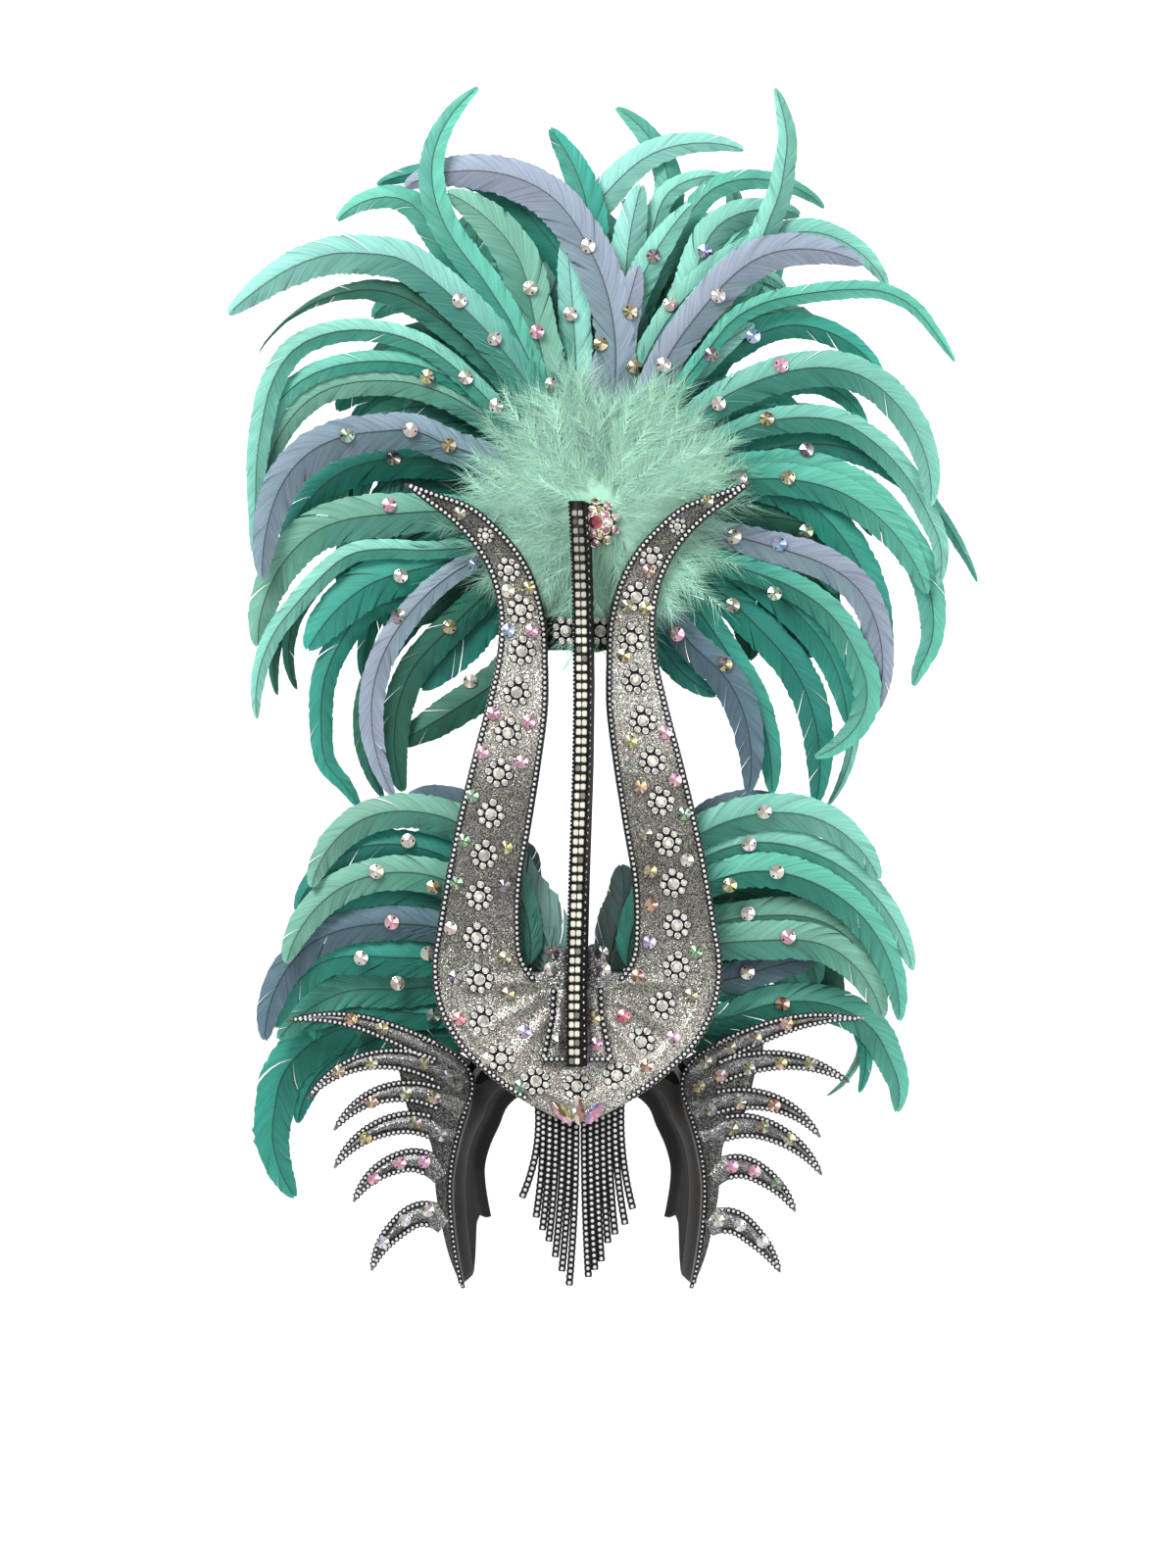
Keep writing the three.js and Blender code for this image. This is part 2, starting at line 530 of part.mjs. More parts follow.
function clawEdge(claw, t, side, inset = 0) {
  const line = clawLine(claw);
  const along = line.getTangent(t);
  const half = Math.max(clawHalf(claw, t) - inset, 0);
  return line.getPoint(t).add(new THREE.Vector2(-along.y, along.x).multiplyScalar(side * half));
}

function wing() {
  const strip = skin(
    WING_ROWS.map((row) =>
      wingSection(new THREE.Vector2(row.inner, row.z), new THREE.Vector2(row.outer, row.z)),
    ),
  );
  const claws = CLAWS.map((claw) =>
    skin([0, 0.25, 0.5, 0.75, 1].map((t) => wingSection(clawEdge(claw, t, -1), clawEdge(claw, t, 1)))),
  );
  return fuse([strip, ...claws]);
}

// Banding round the edge of a wing: along each claw to its tip and back, down into the notch, then up the root
function wingTrim() {
  const inset = 1.5;
  const lift = (p) => V(p.x, wingBack(p.x) - WING_THICK - TRIM_RADIUS - GAP, p.y);
  const path = [];
  CLAWS.forEach((claw, i) => {
    for (const t of i ? [0.45, 0.65, 0.84] : [0.16, 0.4, 0.65, 0.84])
      path.push(lift(clawEdge(claw, t, 1, inset)));
    path.push(lift(clawLine(claw).getPoint(0.97)));
    for (const t of [0.82, 0.63, 0.45]) path.push(lift(clawEdge(claw, t, -1, inset)));
    if (i < NOTCHES.length) path.push(lift(new THREE.Vector2(NOTCHES[i].x, NOTCHES[i].z)));
  });
  for (const row of [...WING_ROWS].reverse()) path.push(lift(new THREE.Vector2(row.inner + inset, row.z)));
  return tube(path, TRIM_RADIUS, 4, 84);
}

const mirrored = (geometry) => surface(solid(geometry).mirror([1, 0, 0]));
const wingRight = wing();
const trimRight = surface(solid(wingTrim()));
put("wing_right", wingRight, "glitter");
put("wing_left", mirrored(wingRight), "glitter");
put("wing_trim_right", trimRight, "banding");
put("wing_trim_left", mirrored(trimRight), "banding");

// Lyre

const bothSides = (rows) => [
  ...rows.map((row) => ({ ...row, side: -1 })),
  ...rows.slice(0, -1).reverse().map((row) => ({ ...row, side: 1 })),
];

function lyre(grow) {
  const rings = bothSides(LYRE_RIBS).map((rib) => {
    const inner = new THREE.Vector2(rib.side * rib.ix, rib.iz);
    const outer = new THREE.Vector2(rib.side * rib.ox, rib.oz);
    const across = outer.clone().sub(inner);
    const wide = across.length();
    across.normalize();
    const at = (from, y) => {
      const p = inner.clone().addScaledVector(across, from);
      return V(p.x, lyreY(p.y) + y, p.y);
    };
    const bevel = Math.min(2, wide / 3);
    return [
      at(-grow, FOAM + grow),
      at(wide + grow, FOAM + grow),
      at(wide + grow, 2 - grow),
      at(wide - bevel, -grow),
      at(bevel, -grow),
      at(-grow, 2 - grow),
    ];
  });
  return skin(rings);
}

put("lyre", lyre(0), "glitter");

function lyreTrim(side) {
  const inset = 3.2;
  const edge = (rib, fromInner) => {
    const inner = new THREE.Vector2(rib.ix, rib.iz);
    const outer = new THREE.Vector2(rib.ox, rib.oz);
    const across = outer.clone().sub(inner).normalize();
    const p = fromInner
      ? inner.addScaledVector(across, inset)
      : outer.addScaledVector(across, -inset);
    return V(side * p.x, lyreY(p.y) - TRIM_RADIUS - GAP, p.y);
  };
  const up = LYRE_RIBS.slice(2, 16).reverse().map((rib) => edge(rib, true));
  const down = LYRE_RIBS.slice(2, 19).map((rib) => edge(rib, false));
  const tip = V(side * 112, lyreY(425) - TRIM_RADIUS - GAP, 424);
  return tube([...up, tip, ...down], TRIM_RADIUS, 4, 52);
}

put("lyre_trim_left", lyreTrim(-1), "banding");
put("lyre_trim_right", lyreTrim(1), "banding");

// Flower chain along the lyre

function flowerLine(side) {
  const points = LYRE_RIBS.slice(1).reverse().map((rib) => {
    const run = side < 0 ? rib.left : rib.right;
    return V(side * lerp(rib.ix, rib.ox, run), 0, lerp(rib.iz, rib.oz, run));
  });
  return new THREE.CatmullRomCurve3(points, false, "centripetal");
}

// One strip that swells into a flower at each pitch and narrows to a link between
function flowerChain(side, first) {
  const line = flowerLine(side);
  const length = line.getLength();
  const rings = [];
  for (let i = first; i <= LAST_FLOWER; i++)
    for (const lobe of FLOWER_LOBES) {
      const scale = TIP_FLOWERS[i] ?? 1;
      const share = (i * FLOWER_PITCH + lobe.at * scale) / length;
      const p = line.getPointAt(share);
      const along = line.getTangentAt(share);
      const at = (half, high) => {
        const z = p.z + along.x * half;
        return V(p.x - along.z * half, lyreY(z) - FLOWER_LIFT - high, z);
      };
      const half = lobe.half * scale;
      const high = lobe.high * scale;
      rings.push([at(-half, 0), at(half, 0), at(half * 0.5, high), at(-half * 0.5, high)]);
    }
  return skin(rings);
}

put("flowers_left", flowerChain(-1, 1), "crystal");
put("flowers_right", flowerChain(1, 1), "crystal");
put("flower_mid", onLyre(flower(FLOWER_RADIUS), 0, FLOWER_MID_Z, FLOWER_LIFT), "crystal");

// Fin, its foot and its stone band

function spineRing(row) {
  const c = row.shift;
  return [
    V(c - SPINE_FRONT_HALF, row.front, row.z),
    V(c + SPINE_FRONT_HALF, row.front, row.z),
    V(c + SPINE_BACK_RIGHT, row.back, row.z),
    V(c - SPINE_BACK_LEFT, row.back, row.z),
  ];
}

put("spine", skin(SPINE_ROWS.map(spineRing)), "banding");

function spineBand() {
  const rings = SPINE_ROWS.map((row) => {
    const ring = (half, y) => [V(row.shift - half, row.front - y, row.z), V(row.shift + half, row.front - y, row.z)];
    const [a, b] = ring(4.6, GAP);
    const [d, c] = ring(4, 2.2);
    return [a, b, c, d];
  });
  return skin(rings);
}

put("spine_band", spineBand(), "crystal");

function foot() {
  const layer = (y) => [
    V(-FOOT.halfTop, lyreY(FOOT.top) + y, FOOT.top),
    V(FOOT.halfTop, lyreY(FOOT.top) + y, FOOT.top),
    V(FOOT.halfBottom, lyreY(FOOT.bottom) + y, FOOT.bottom),
    V(-FOOT.halfBottom, lyreY(FOOT.bottom) + y, FOOT.bottom),
  ];
  const fin = skin(SPINE_ROWS.map((row) => spineRing({ ...row, back: row.back + GAP })));
  return cut(skin([layer(-FOOT.thick), layer(-GAP)]), fin);
}

put("spine_foot", foot(), "glitter");

function footTrim() {
  const corner = (x, z) => V(x, lyreY(z) - FOOT.thick - TRIM_RADIUS - GAP, z);
  const low = FOOT.bottom + 3;
  const wide = FOOT.halfBottom - 4;
  const narrow = FOOT.halfTop - 3;
  const side = (s) => [
    tube([corner(s * narrow, FOOT.top - 3), corner(s * wide, low)], TRIM_RADIUS, 6, 2),
    tube([corner(s * wide, low), corner(s * 8.5, low)], TRIM_RADIUS, 6, 1),
  ];
  return [fuse(side(-1)), fuse(side(1))];
}

const [footTrimLeft, footTrimRight] = footTrim();
put("foot_trim_left", footTrimLeft, "banding");
put("foot_trim_right", footTrimRight, "banding");

// Yoke, shield, down and brooch

function yoke() {
  const bar = box(-YOKE.half, YOKE.half, YOKE.recess, YOKE.back, YOKE.low, YOKE.high);
  const pad = (s) => {
    const ends = [s * YOKE.pad, s * YOKE.half].sort((a, b) => a - b);
    return box(ends[0], ends[1], YOKE.front, YOKE.recess + 1, YOKE.low, YOKE.high);
  };
  const blooms = [-7, 16].map((x) => flower(8).translate(x, YOKE.recess + 0.2, 325.5));
  return fuse([bar, pad(-1), pad(1), ...blooms]);
}

put("yoke", yoke(), "foam");

function shield() {
  const layer = (y) =>
    ringOf(20, () => 1).map((p) => V(SHIELD.x + p.x * SHIELD.halfX, y, SHIELD.z + p.y * SHIELD.halfZ));
  return skin([layer(SHIELD.front), layer(SHIELD.back)]);
}

put("plume_base", shield(), "felt");

function down() {
  const disc = new THREE.CylinderGeometry(DOWN.disc, DOWN.disc, 5, 12).translate(DOWN.x, -80.2, DOWN.z);
  const locks = Array.from({ length: DOWN.locks }, (_, i) => {
    const angle = (i / DOWN.locks) * 2 * Math.PI;
    const open = Math.sin(angle) < -0.5 ? 60 : 88 + 14 * Math.cos(2 * angle) + 10 * Math.cos(7 * angle);
    const along = V(Math.cos(angle), 0, Math.sin(angle));
    const side = V(-along.z, 0, along.x);
    const mid = (DOWN.front + DOWN.back) / 2;
    const at = (r, s, y) => V(DOWN.x, y, DOWN.z).addScaledVector(along, r).addScaledVector(side, s);
    const ring = (r, s, y) => [at(r, s, mid), at(r, 0, mid - y), at(r, -s, mid), at(r, 0, mid + y)];
    return skin([ring(24, 9, 3.2), ring(open * 0.62, 11, 3), [at(open, 0, mid)]]);
  });
  return fuse([disc, ...locks]);
}

function brooch() {
  const profile = [
    [0, 0],
    [BROOCH.radius, 0],
    [BROOCH.radius, 2],
    [11.5, 5],
    [8.5, 3.4],
    [6, 3.4],
    [3.4, 6.2],
    [0, 6.2],
  ].map(([r, h]) => new THREE.Vector2(r, h));
  const made = new THREE.LatheGeometry(profile, 12);
  return made.rotateX(Math.PI).translate(BROOCH.x, BROOCH.back, BROOCH.z);
}

function broochRoom() {
  const radius = BROOCH.radius + 0.5;
  return new THREE.CylinderGeometry(radius, radius, 8, 16).translate(BROOCH.x, BROOCH.back - 4 + GAP, BROOCH.z);
}

put("plume_down", cut(down(), broochRoom()), "down");
put("brooch", brooch(), "aurora");

// Feathers

const profile = (t) => (t < 0.45 ? 0.34 + (0.66 * t) / 0.45 : Math.sqrt(1 - ((t - 0.45) / 0.55) ** 2));

// Depth of a feather at a place: those further back lean further back as they reach out from the eye
function featherDepth(row, eye, front, x, z) {
  const reach = Math.hypot(x - eye.x, z - eye.z) / LEAN_REACH;
  return front + row.back * (1 + LEAN_BACK * reach * reach);
}

function feather(row, hub, eye, front) {
  const start = new THREE.Vector2(row.sx - hub.x, row.sz - hub.z).setLength(hub.start);
  const quill = new THREE.CatmullRomCurve3(
    [
      V(hub.x + start.x, 0, hub.z + start.y),
      V(row.sx, 0, row.sz),
      V(row.bx, 0, row.bz),
      V(row.tx, 0, row.tz),
    ],
    false,
    "centripetal",
  );
  const rings = FEATHER_SHARES.map((t) => {
    const p = quill.getPointAt(t);
    const along = quill.getTangentAt(t);
    const half = (row.wide / 2) * profile(t);
    const y = featherDepth(row, eye, front, p.x, p.z);
    return [
      V(p.x - along.z * half, y, p.z + along.x * half),
      V(p.x, y - FEATHER_RIDGE, p.z),
      V(p.x + along.z * half, y, p.z - along.x * half),
    ];
  });
  return skin([...rings, [V(row.tx, featherDepth(row, eye, front, row.tx, row.tz), row.tz)]]);
}

function plume(rows, hub, eye, front) {
  const depth = Math.max(...rows.map((row) => row.back)) + 2;
  const block = box(
    hub.x - hub.halfX,
    hub.x + hub.halfX,
    front - FEATHER_RIDGE / 2,
    front + depth,
    hub.z - hub.halfZ,
    hub.z + hub.halfZ,
  );
  return fuse([block, ...rows.map((row) => feather(row, hub, eye, front))]);
}

put("plume_left", plume(UPPER_LEFT, HUB_LEFT, PLUME_EYE, UPPER_FRONT + FEATHER_RIDGE), "feather");
put("plume_right", plume(UPPER_RIGHT, HUB_RIGHT, PLUME_EYE, UPPER_FRONT + FEATHER_RIDGE), "feather");
put("side_plume_left", plume(LOWER_LEFT, HUB_LOW_LEFT, HUB_LOW_LEFT, LOWER_FRONT), "feather");
put("side_plume_right", plume(LOWER_RIGHT, HUB_LOW, HUB_LOW, LOWER_FRONT), "feather");

// Crest block between hood and lyre

const crest = box(-CREST.half, CREST.half, CREST.front, CREST.back, CREST.low, CREST.high);
put("crest_base", cut(crest, hoodRoom(), lyre(GAP)), "glitter");

// Fringe

function fringe() {
  const top = (x) => -19 + 0.36 * Math.abs(x);
  const bar = (s) => {
    const end = s * 33.5;
    const at = (x, z) => [V(x, FRINGE_Y - 1.5, z), V(x, FRINGE_Y + 1.5, z)];
    const ring = (x) => [...at(x, top(x) - 1), ...at(x, top(x) + 4).reverse()];
    return skin([ring(-s * 0.5), ring(end)]);
  };
  const strands = STRANDS.map((row) =>
    tube(
      [
        V(row.top, FRINGE_Y, top(row.top) + 2),
        V(row.top, FRINGE_Y, FRINGE_KNEE),
        V(row.endX, FRINGE_Y, row.endZ),
      ],
      STRAND_RADIUS,
      4,
      2,
    ),
  );
  return fuse([bar(-1), bar(1), ...strands]);
}

put("fringe", fringe(), "banding");

// Stones

for (const [name, m] of Object.entries(MARQUISES)) {
  const half = Math.hypot(m.x1 - m.x0, m.z1 - m.z0) / 2;
  const turn = Math.atan2(m.z1 - m.z0, m.x1 - m.x0);
  const outline = ringOf(10, () => 1).map((p, i) => {
    const angle = (i / 10) * 2 * Math.PI;
    const pointed = Math.sin(angle) * Math.abs(Math.sin(angle)) ** 0.35;
    return new THREE.Vector2(half * Math.cos(angle), MARQUISE_HALF * pointed);
  });
  const made = stone(outline, 3.4, 0.5).rotateY(-turn);
  put(name, onLyre(made, (m.x0 + m.x1) / 2, (m.z0 + m.z1) / 2, GAP), "aurora");
}

LYRE_STONES.forEach((s, i) =>
  put(`lyre_stone_${i + 1}`, onLyre(roundStone(STONE_RADIUS), s.x, s.z, GAP), "aurora"),
);
CREST_STONES.forEach((s, i) =>
  put(`crest_stone_${i + 1}`, roundStone(STONE_RADIUS).translate(s.x, CREST.front - GAP, s.z), "aurora"),
);

export default group;
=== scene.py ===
"""Looks of a showgirl feather headdress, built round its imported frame.

Tables are in millimetres in the frame's axes: +Z up, front towards -Y, +X the viewer's right.
"""
import math
from collections import namedtuple

import bpy
import numpy as np
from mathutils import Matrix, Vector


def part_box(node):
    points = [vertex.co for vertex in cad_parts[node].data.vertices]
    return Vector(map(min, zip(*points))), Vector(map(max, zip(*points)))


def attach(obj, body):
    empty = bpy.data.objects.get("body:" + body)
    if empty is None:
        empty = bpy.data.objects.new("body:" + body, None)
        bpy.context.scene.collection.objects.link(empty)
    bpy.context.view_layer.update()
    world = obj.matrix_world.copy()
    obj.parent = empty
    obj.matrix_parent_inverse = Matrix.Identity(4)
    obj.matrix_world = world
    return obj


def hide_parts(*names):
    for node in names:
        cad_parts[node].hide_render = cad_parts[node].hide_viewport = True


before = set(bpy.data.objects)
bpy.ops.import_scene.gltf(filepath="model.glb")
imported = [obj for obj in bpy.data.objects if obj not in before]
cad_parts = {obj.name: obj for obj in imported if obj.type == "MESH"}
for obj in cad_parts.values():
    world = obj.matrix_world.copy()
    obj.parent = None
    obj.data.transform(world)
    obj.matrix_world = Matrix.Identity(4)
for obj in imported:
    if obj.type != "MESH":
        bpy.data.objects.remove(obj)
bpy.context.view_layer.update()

MM = 0.001
rng = np.random.default_rng(11)

# View: a level camera straight on
VIEW_X = 7.7
VIEW_Z = 217.0
VIEW_PLANE_Y = -65.0
VIEW_DISTANCE = 2800.0
VIEW_HEIGHT = 1120.0

# Photograph scale: millimetres in a pixel, and the pixel where X and Z are zero
PIXEL_MM = 0.7
PIXEL_X0 = 589
PIXEL_Z0 = 1110

# Foam parts: thickness of the sheets, the hood's mouth, and a wing's plate, sweep and web
FOAM = 6.0
HOOD_WALL = 4.0
MOUTH_Y = -62.0
WING_THICK = 5.0
WING_SWEEP = 14.0
WING_ROOT = 95.0
WING_REACH = 113.0
WEB_THICK = WING_THICK - 1.6
WEB_SINK = 0.9
CLAW_TIP = 0.9

# Tones of dyed feathers, stones and trim as display colours from 0 to 255
TONES = {
    "light": (120, 190, 173),
    "pale": (132, 198, 185),
    "mint": (88, 172, 152),
    "teal": (48, 147, 130),
    "deep": (30, 125, 112),
    "dark": (34, 100, 82),
    "grey": (110, 167, 147),
    "lilac": (140, 152, 170),
    "slate": (84, 110, 124),
    "dusk": (116, 136, 150),
    "root": (0, 128, 110),
    "down": (172, 222, 196),
    "mist": (134, 176, 168),
    "stone": (102, 126, 124),
    "white": (246, 247, 250),
    "warm": (250, 246, 230),
    "clear": (238, 233, 218),
    "pink": (240, 150, 190),
    "rose": (226, 40, 96),
    "yellow": (204, 190, 92),
    "olive": (150, 148, 84),
    "green": (118, 186, 124),
    "violet": (176, 164, 232),
    "orange": (216, 152, 104),
    "blue": (120, 160, 226),
    "smoke": (104, 104, 100),
}

# Front of the lyre, height against depth, and the slow wave of its sheet
LYRE_DEPTH = [(-40, -111.5), (72, -93), (120, -91), (380, -91), (440, -98)]
WAVE_HIGH = 2.0
WAVE_AT = 225.0
WAVE_LENGTH = 250.0
WAVE_FROM = 70.0
WAVE_TO = 430.0
WAVE_FADE = 60.0
LYRE_EASE = 24.0

# Painted light and shade on its glitter by height: brighter where the light falls across the arms and the
# bowl, darker on the horns
LYRE_PAINTED_LIGHT = [
    (-25, 1.25), (30, 1.1), (80, 0.64), (150, 0.48), (215, 0.62), (250, 1.25), (300, 1.5), (340, 0.75),
    (380, 0.4), (430, 0.3),
]

# Ridges pressed into its bowl: a line inside the rim, and rays from a point under the fin
RIM_HIGH = 1.7
RIM_INSET = 14
RIM_WIDE = 3.0
RIM_TOP = 125
RIM_FADE = 40
RAY_Z = 78
RAY_HIGH = 2.4
RAY_WIDE = 3.6
RAY_FROM = 28
RAY_TO = 86
RAY_ANGLES = (2, 27, 50)

# Ribs of the lyre from horn tip to bottom point: inner edge, outer edge,
# and the share between them where the flowers run on each side
Rib = namedtuple("Rib", "ix iz ox oz left right")
LYRE_RIBS = [
    Rib(121, 430, 122.5, 428, 0.5, 0.5),
    Rib(97, 422, 108, 417, 0.5, 0.5),
    Rib(73, 413, 92, 405, 0.5, 0.5),
    Rib(56, 399, 78, 391, 0.5, 0.5),
    Rib(43, 385, 68, 377, 0.5, 0.5),
    Rib(34, 371, 61.5, 363, 0.5, 0.5),
    Rib(26, 350, 57, 345, 0.5, 0.5),
    Rib(21.5, 329, 55.5, 327, 0.5, 0.5),
    Rib(20.5, 305, 57.5, 305, 0.52, 0.52),
    Rib(20.3, 275, 64, 275, 0.54, 0.54),
    Rib(25.5, 231, 75.5, 231, 0.57, 0.57),
    Rib(32.5, 187, 86, 187, 0.56, 0.56),
    Rib(39, 147, 94, 147, 0.53, 0.53),
    Rib(40, 117, 99, 117, 0.52, 0.52),
    Rib(37, 92, 103, 88, 0.51, 0.51),
    Rib(28, 79, 100, 63, 0.55, 0.52),
    Rib(20, 75, 88, 37, 0.68, 0.54),
    Rib(13, 73, 66, 14, 0.8, 0.62),
    Rib(6, 72.5, 36, -7, 0.81, 0.76),
    Rib(0, 72.5, 0, -21, 0.73, 0.73),
]
HORN_TIP = (119.0, 428.2)

# Edge banding: pitch of its stones, half width, thickness, stone radius and dip between the stones
Band = namedtuple("Band", "pitch half thick stone dip")
EDGE_BAND = Band(3.8, 2.6, 1.5, 1.22, 0.24)
CLAW_BAND = Band(3.6, 2.4, 1.5, 1.12, 0.24)
ROOT_BAND = Band(3.6, 1.6, 1.2, 0.8, 0.24)
FOOT_BAND = Band(4.4, 2.5, 1.4, 1.3, 0.24)
STRAND_BAND = Band(4.1, 2.7, 1.6, 1.3, 0.06)
BAR_BAND = Band(4.4, 2.4, 1.8, 1.4, 0.24)
BAND_SECTION = [(-1, 0), (-0.86, 0.75), (-0.4, 1), (0.4, 1), (0.86, 0.75), (1, 0)]
BAND_STEPS = 6
BAND_LOW = 0.14

# Flowers: their chain, the small ones at its end by number, and the links before each flower
FLOWER_PITCH = 29.4
FLOWERS = 15
SMALL_FLOWERS = {14: 0.86, 15: 0.6}
LINKS = (-0.42, -0.5, -0.58)
MIDDLE_FLOWER_Z = 4.0
YOKE_FLOWERS_X = (-8.0, 16.5)
YOKE_FLOWERS_Z = 325.5
YOKE_INSIDE = 26.0
YOKE_SET_BACK = 3.1
PETALS = 7
PETAL_GAP = math.radians(44)
PETAL_RING = 7.5
PETAL_RADIUS = 1.95
MIDDLE_RADIUS = 3.5
DROP_AT = 8.7
DROP_RADIUS = 2.2
# Black disc behind each flower, waved between the petals: painted shade round and between its stones
SHADE_DISC_RADIUS = 8.3
SHADE_DISC_WAVE = 0.5
CUP_SECTION = [(1.22, 0.0), (1.22, 0.55), (1.1, 0.75), (0.94, 0.5)]

# Arch of the hood from crown to cheek end: head band and flared mouth, inner face
Arch = namedtuple("Arch", "bx bz mx mz")
HOOD_ARCH = [
    Arch(0, 0, 0, 33),
    Arch(26, 0, 32, 31),
    Arch(48, -2, 60, 23),
    Arch(60, -10.5, 73, 8),
    Arch(67, -24.5, 77, -14),
    Arch(75, -40, 84, -38),
    Arch(79.5, -70, 89, -68),
    Arch(79, -90, 88.5, -92),
    Arch(77, -112, 86, -114),
    Arch(74, -136, 81.5, -140),
]
CHEEK_FROM = -40.0

# Sections of the hood from mouth to back: flare 1 is the mouth, legs is the share of the cheek left
HoodRow = namedtuple("HoodRow", "y flare spread lift legs")
HOOD_ROWS = [
    HoodRow(MOUTH_Y, 1, 1, 0, 1),
    HoodRow(-52, 0.5, 1, 0, 1),
    HoodRow(-38, 0.08, 1, 0, 1),
    HoodRow(-18, 0, 1, 0, 0.9),
    HoodRow(15, 0, 1, 0, 0.68),
    HoodRow(50, 0, 0.97, -4, 0.6),
    HoodRow(76, 0, 0.87, -15, 0.55),
]
HOOD_RIM_Y = -34.0
HOOD_EASE = 4.0

# Foam tabs beside the mouth of the hood, behind the wings
HOOD_TAB = [(60, 8), (70, 2), (82, 5), (83, 20), (72, 22), (62, 16)]
TAB_Y = (MOUTH_Y + 1, MOUTH_Y + 4)

# Web that joins a wing's claws, from top to bottom, and the claws:
# the middle line passes base, mid and bend to the tip
WingRow = namedtuple("WingRow", "z inner outer")
WING_ROWS = [
    WingRow(35, 110, 130),
    WingRow(30, 97, 133),
    WingRow(20, 81, 129),
    WingRow(10, 74.5, 127),
    WingRow(-3, 73.5, 124),
    WingRow(-15.5, 78, 121),
    WingRow(-28, 82, 111),
    WingRow(-39, 85, 105),
    WingRow(-54, 88, 102.5),
    WingRow(-75, 89.5, 101),
    WingRow(-103, 87.5, 96),
    WingRow(-122, 85, 91),
    WingRow(-143, 80, 82),
]
Claw = namedtuple("Claw", "base_x base_z mid_x mid_z bend_x bend_z tip_x tip_z wide")
CLAWS_LEFT = [
    Claw(80, 12, 125, 36, 168, 49, 209, 47, 15),
    Claw(82, 0, 119, 19, 158, 17, 194, -9, 16),
    Claw(82, -18, 114, -3, 146, -7, 174, -31, 16),
    Claw(89, -36.5, 116, -25, 147, -32, 174, -58, 16),
    Claw(95.5, -62.5, 114, -52, 138, -58, 160, -82, 16),
    Claw(93.2, -96.9, 109, -90, 131, -103, 147, -131, 17),
]
CLAWS_RIGHT = [
    Claw(80, 12, 122, 35, 165, 48, 206, 48, 15),
    Claw(82, 0, 120, 17, 164, 17, 195, 3, 16),
    Claw(82, -18, 112, -8, 148, -14, 174, -36, 16),
    Claw(89, -37, 116, -27, 148, -36, 175, -63, 17),
    Claw(95.5, -63.5, 113, -56, 137, -66, 156, -89, 16),
    Claw(92.6, -97.7, 109, -95, 128, -108, 145, -132, 17),
]
CLAWS = {-1: CLAWS_LEFT, 1: CLAWS_RIGHT}

# Sections of the fin: height, sideways shift of its front, front and back depth
SpineRow = namedtuple("SpineRow", "z shift front back")
SPINE_ROWS = [
    SpineRow(19, -1.8, -121, -112),
    SpineRow(70, -2, -122, -103.5),
    SpineRow(78, -1.8, -122, -94),
    SpineRow(106, -1, -122, -94),
    SpineRow(147, 0, -122, -89),
    SpineRow(231, 2.8, -122, -87),
    SpineRow(287, 3.5, -122, -85),
    SpineRow(343, 2.8, -121, -85),
    SpineRow(385, 1.7, -118, -85),
    SpineRow(416, -0.4, -111, -86),
]
SPINE_HALF = 5.0
SPINE_STEP = 6.4
STRIP_HALF = 4.6
SPINE_FROM = 20.0
SPINE_TO = 415.0
SPINE_EASE = 14.0
SPINE_STONE = 1.85
SPINE_SHIFT = 2.05
BEAD_STEP = 2.9
BEAD_SHIFT = 5.0
BEAD_RADIUS = 1.35
SIDE_INSET = 5.0
FOOT_TOP = 72.0
FOOT_BOTTOM = 21.0
FOOT_HALF_TOP = 17.5
FOOT_HALF_BOTTOM = 25.0
FOOT_THICK = 6.0
FOOT_SWELL = 2.2

# Lobes at the root of the fin
CREST_HALF = 33.0
CREST_TOP = 84.0
LOBE_X = 13.0
LOBE_HALF = 9.0

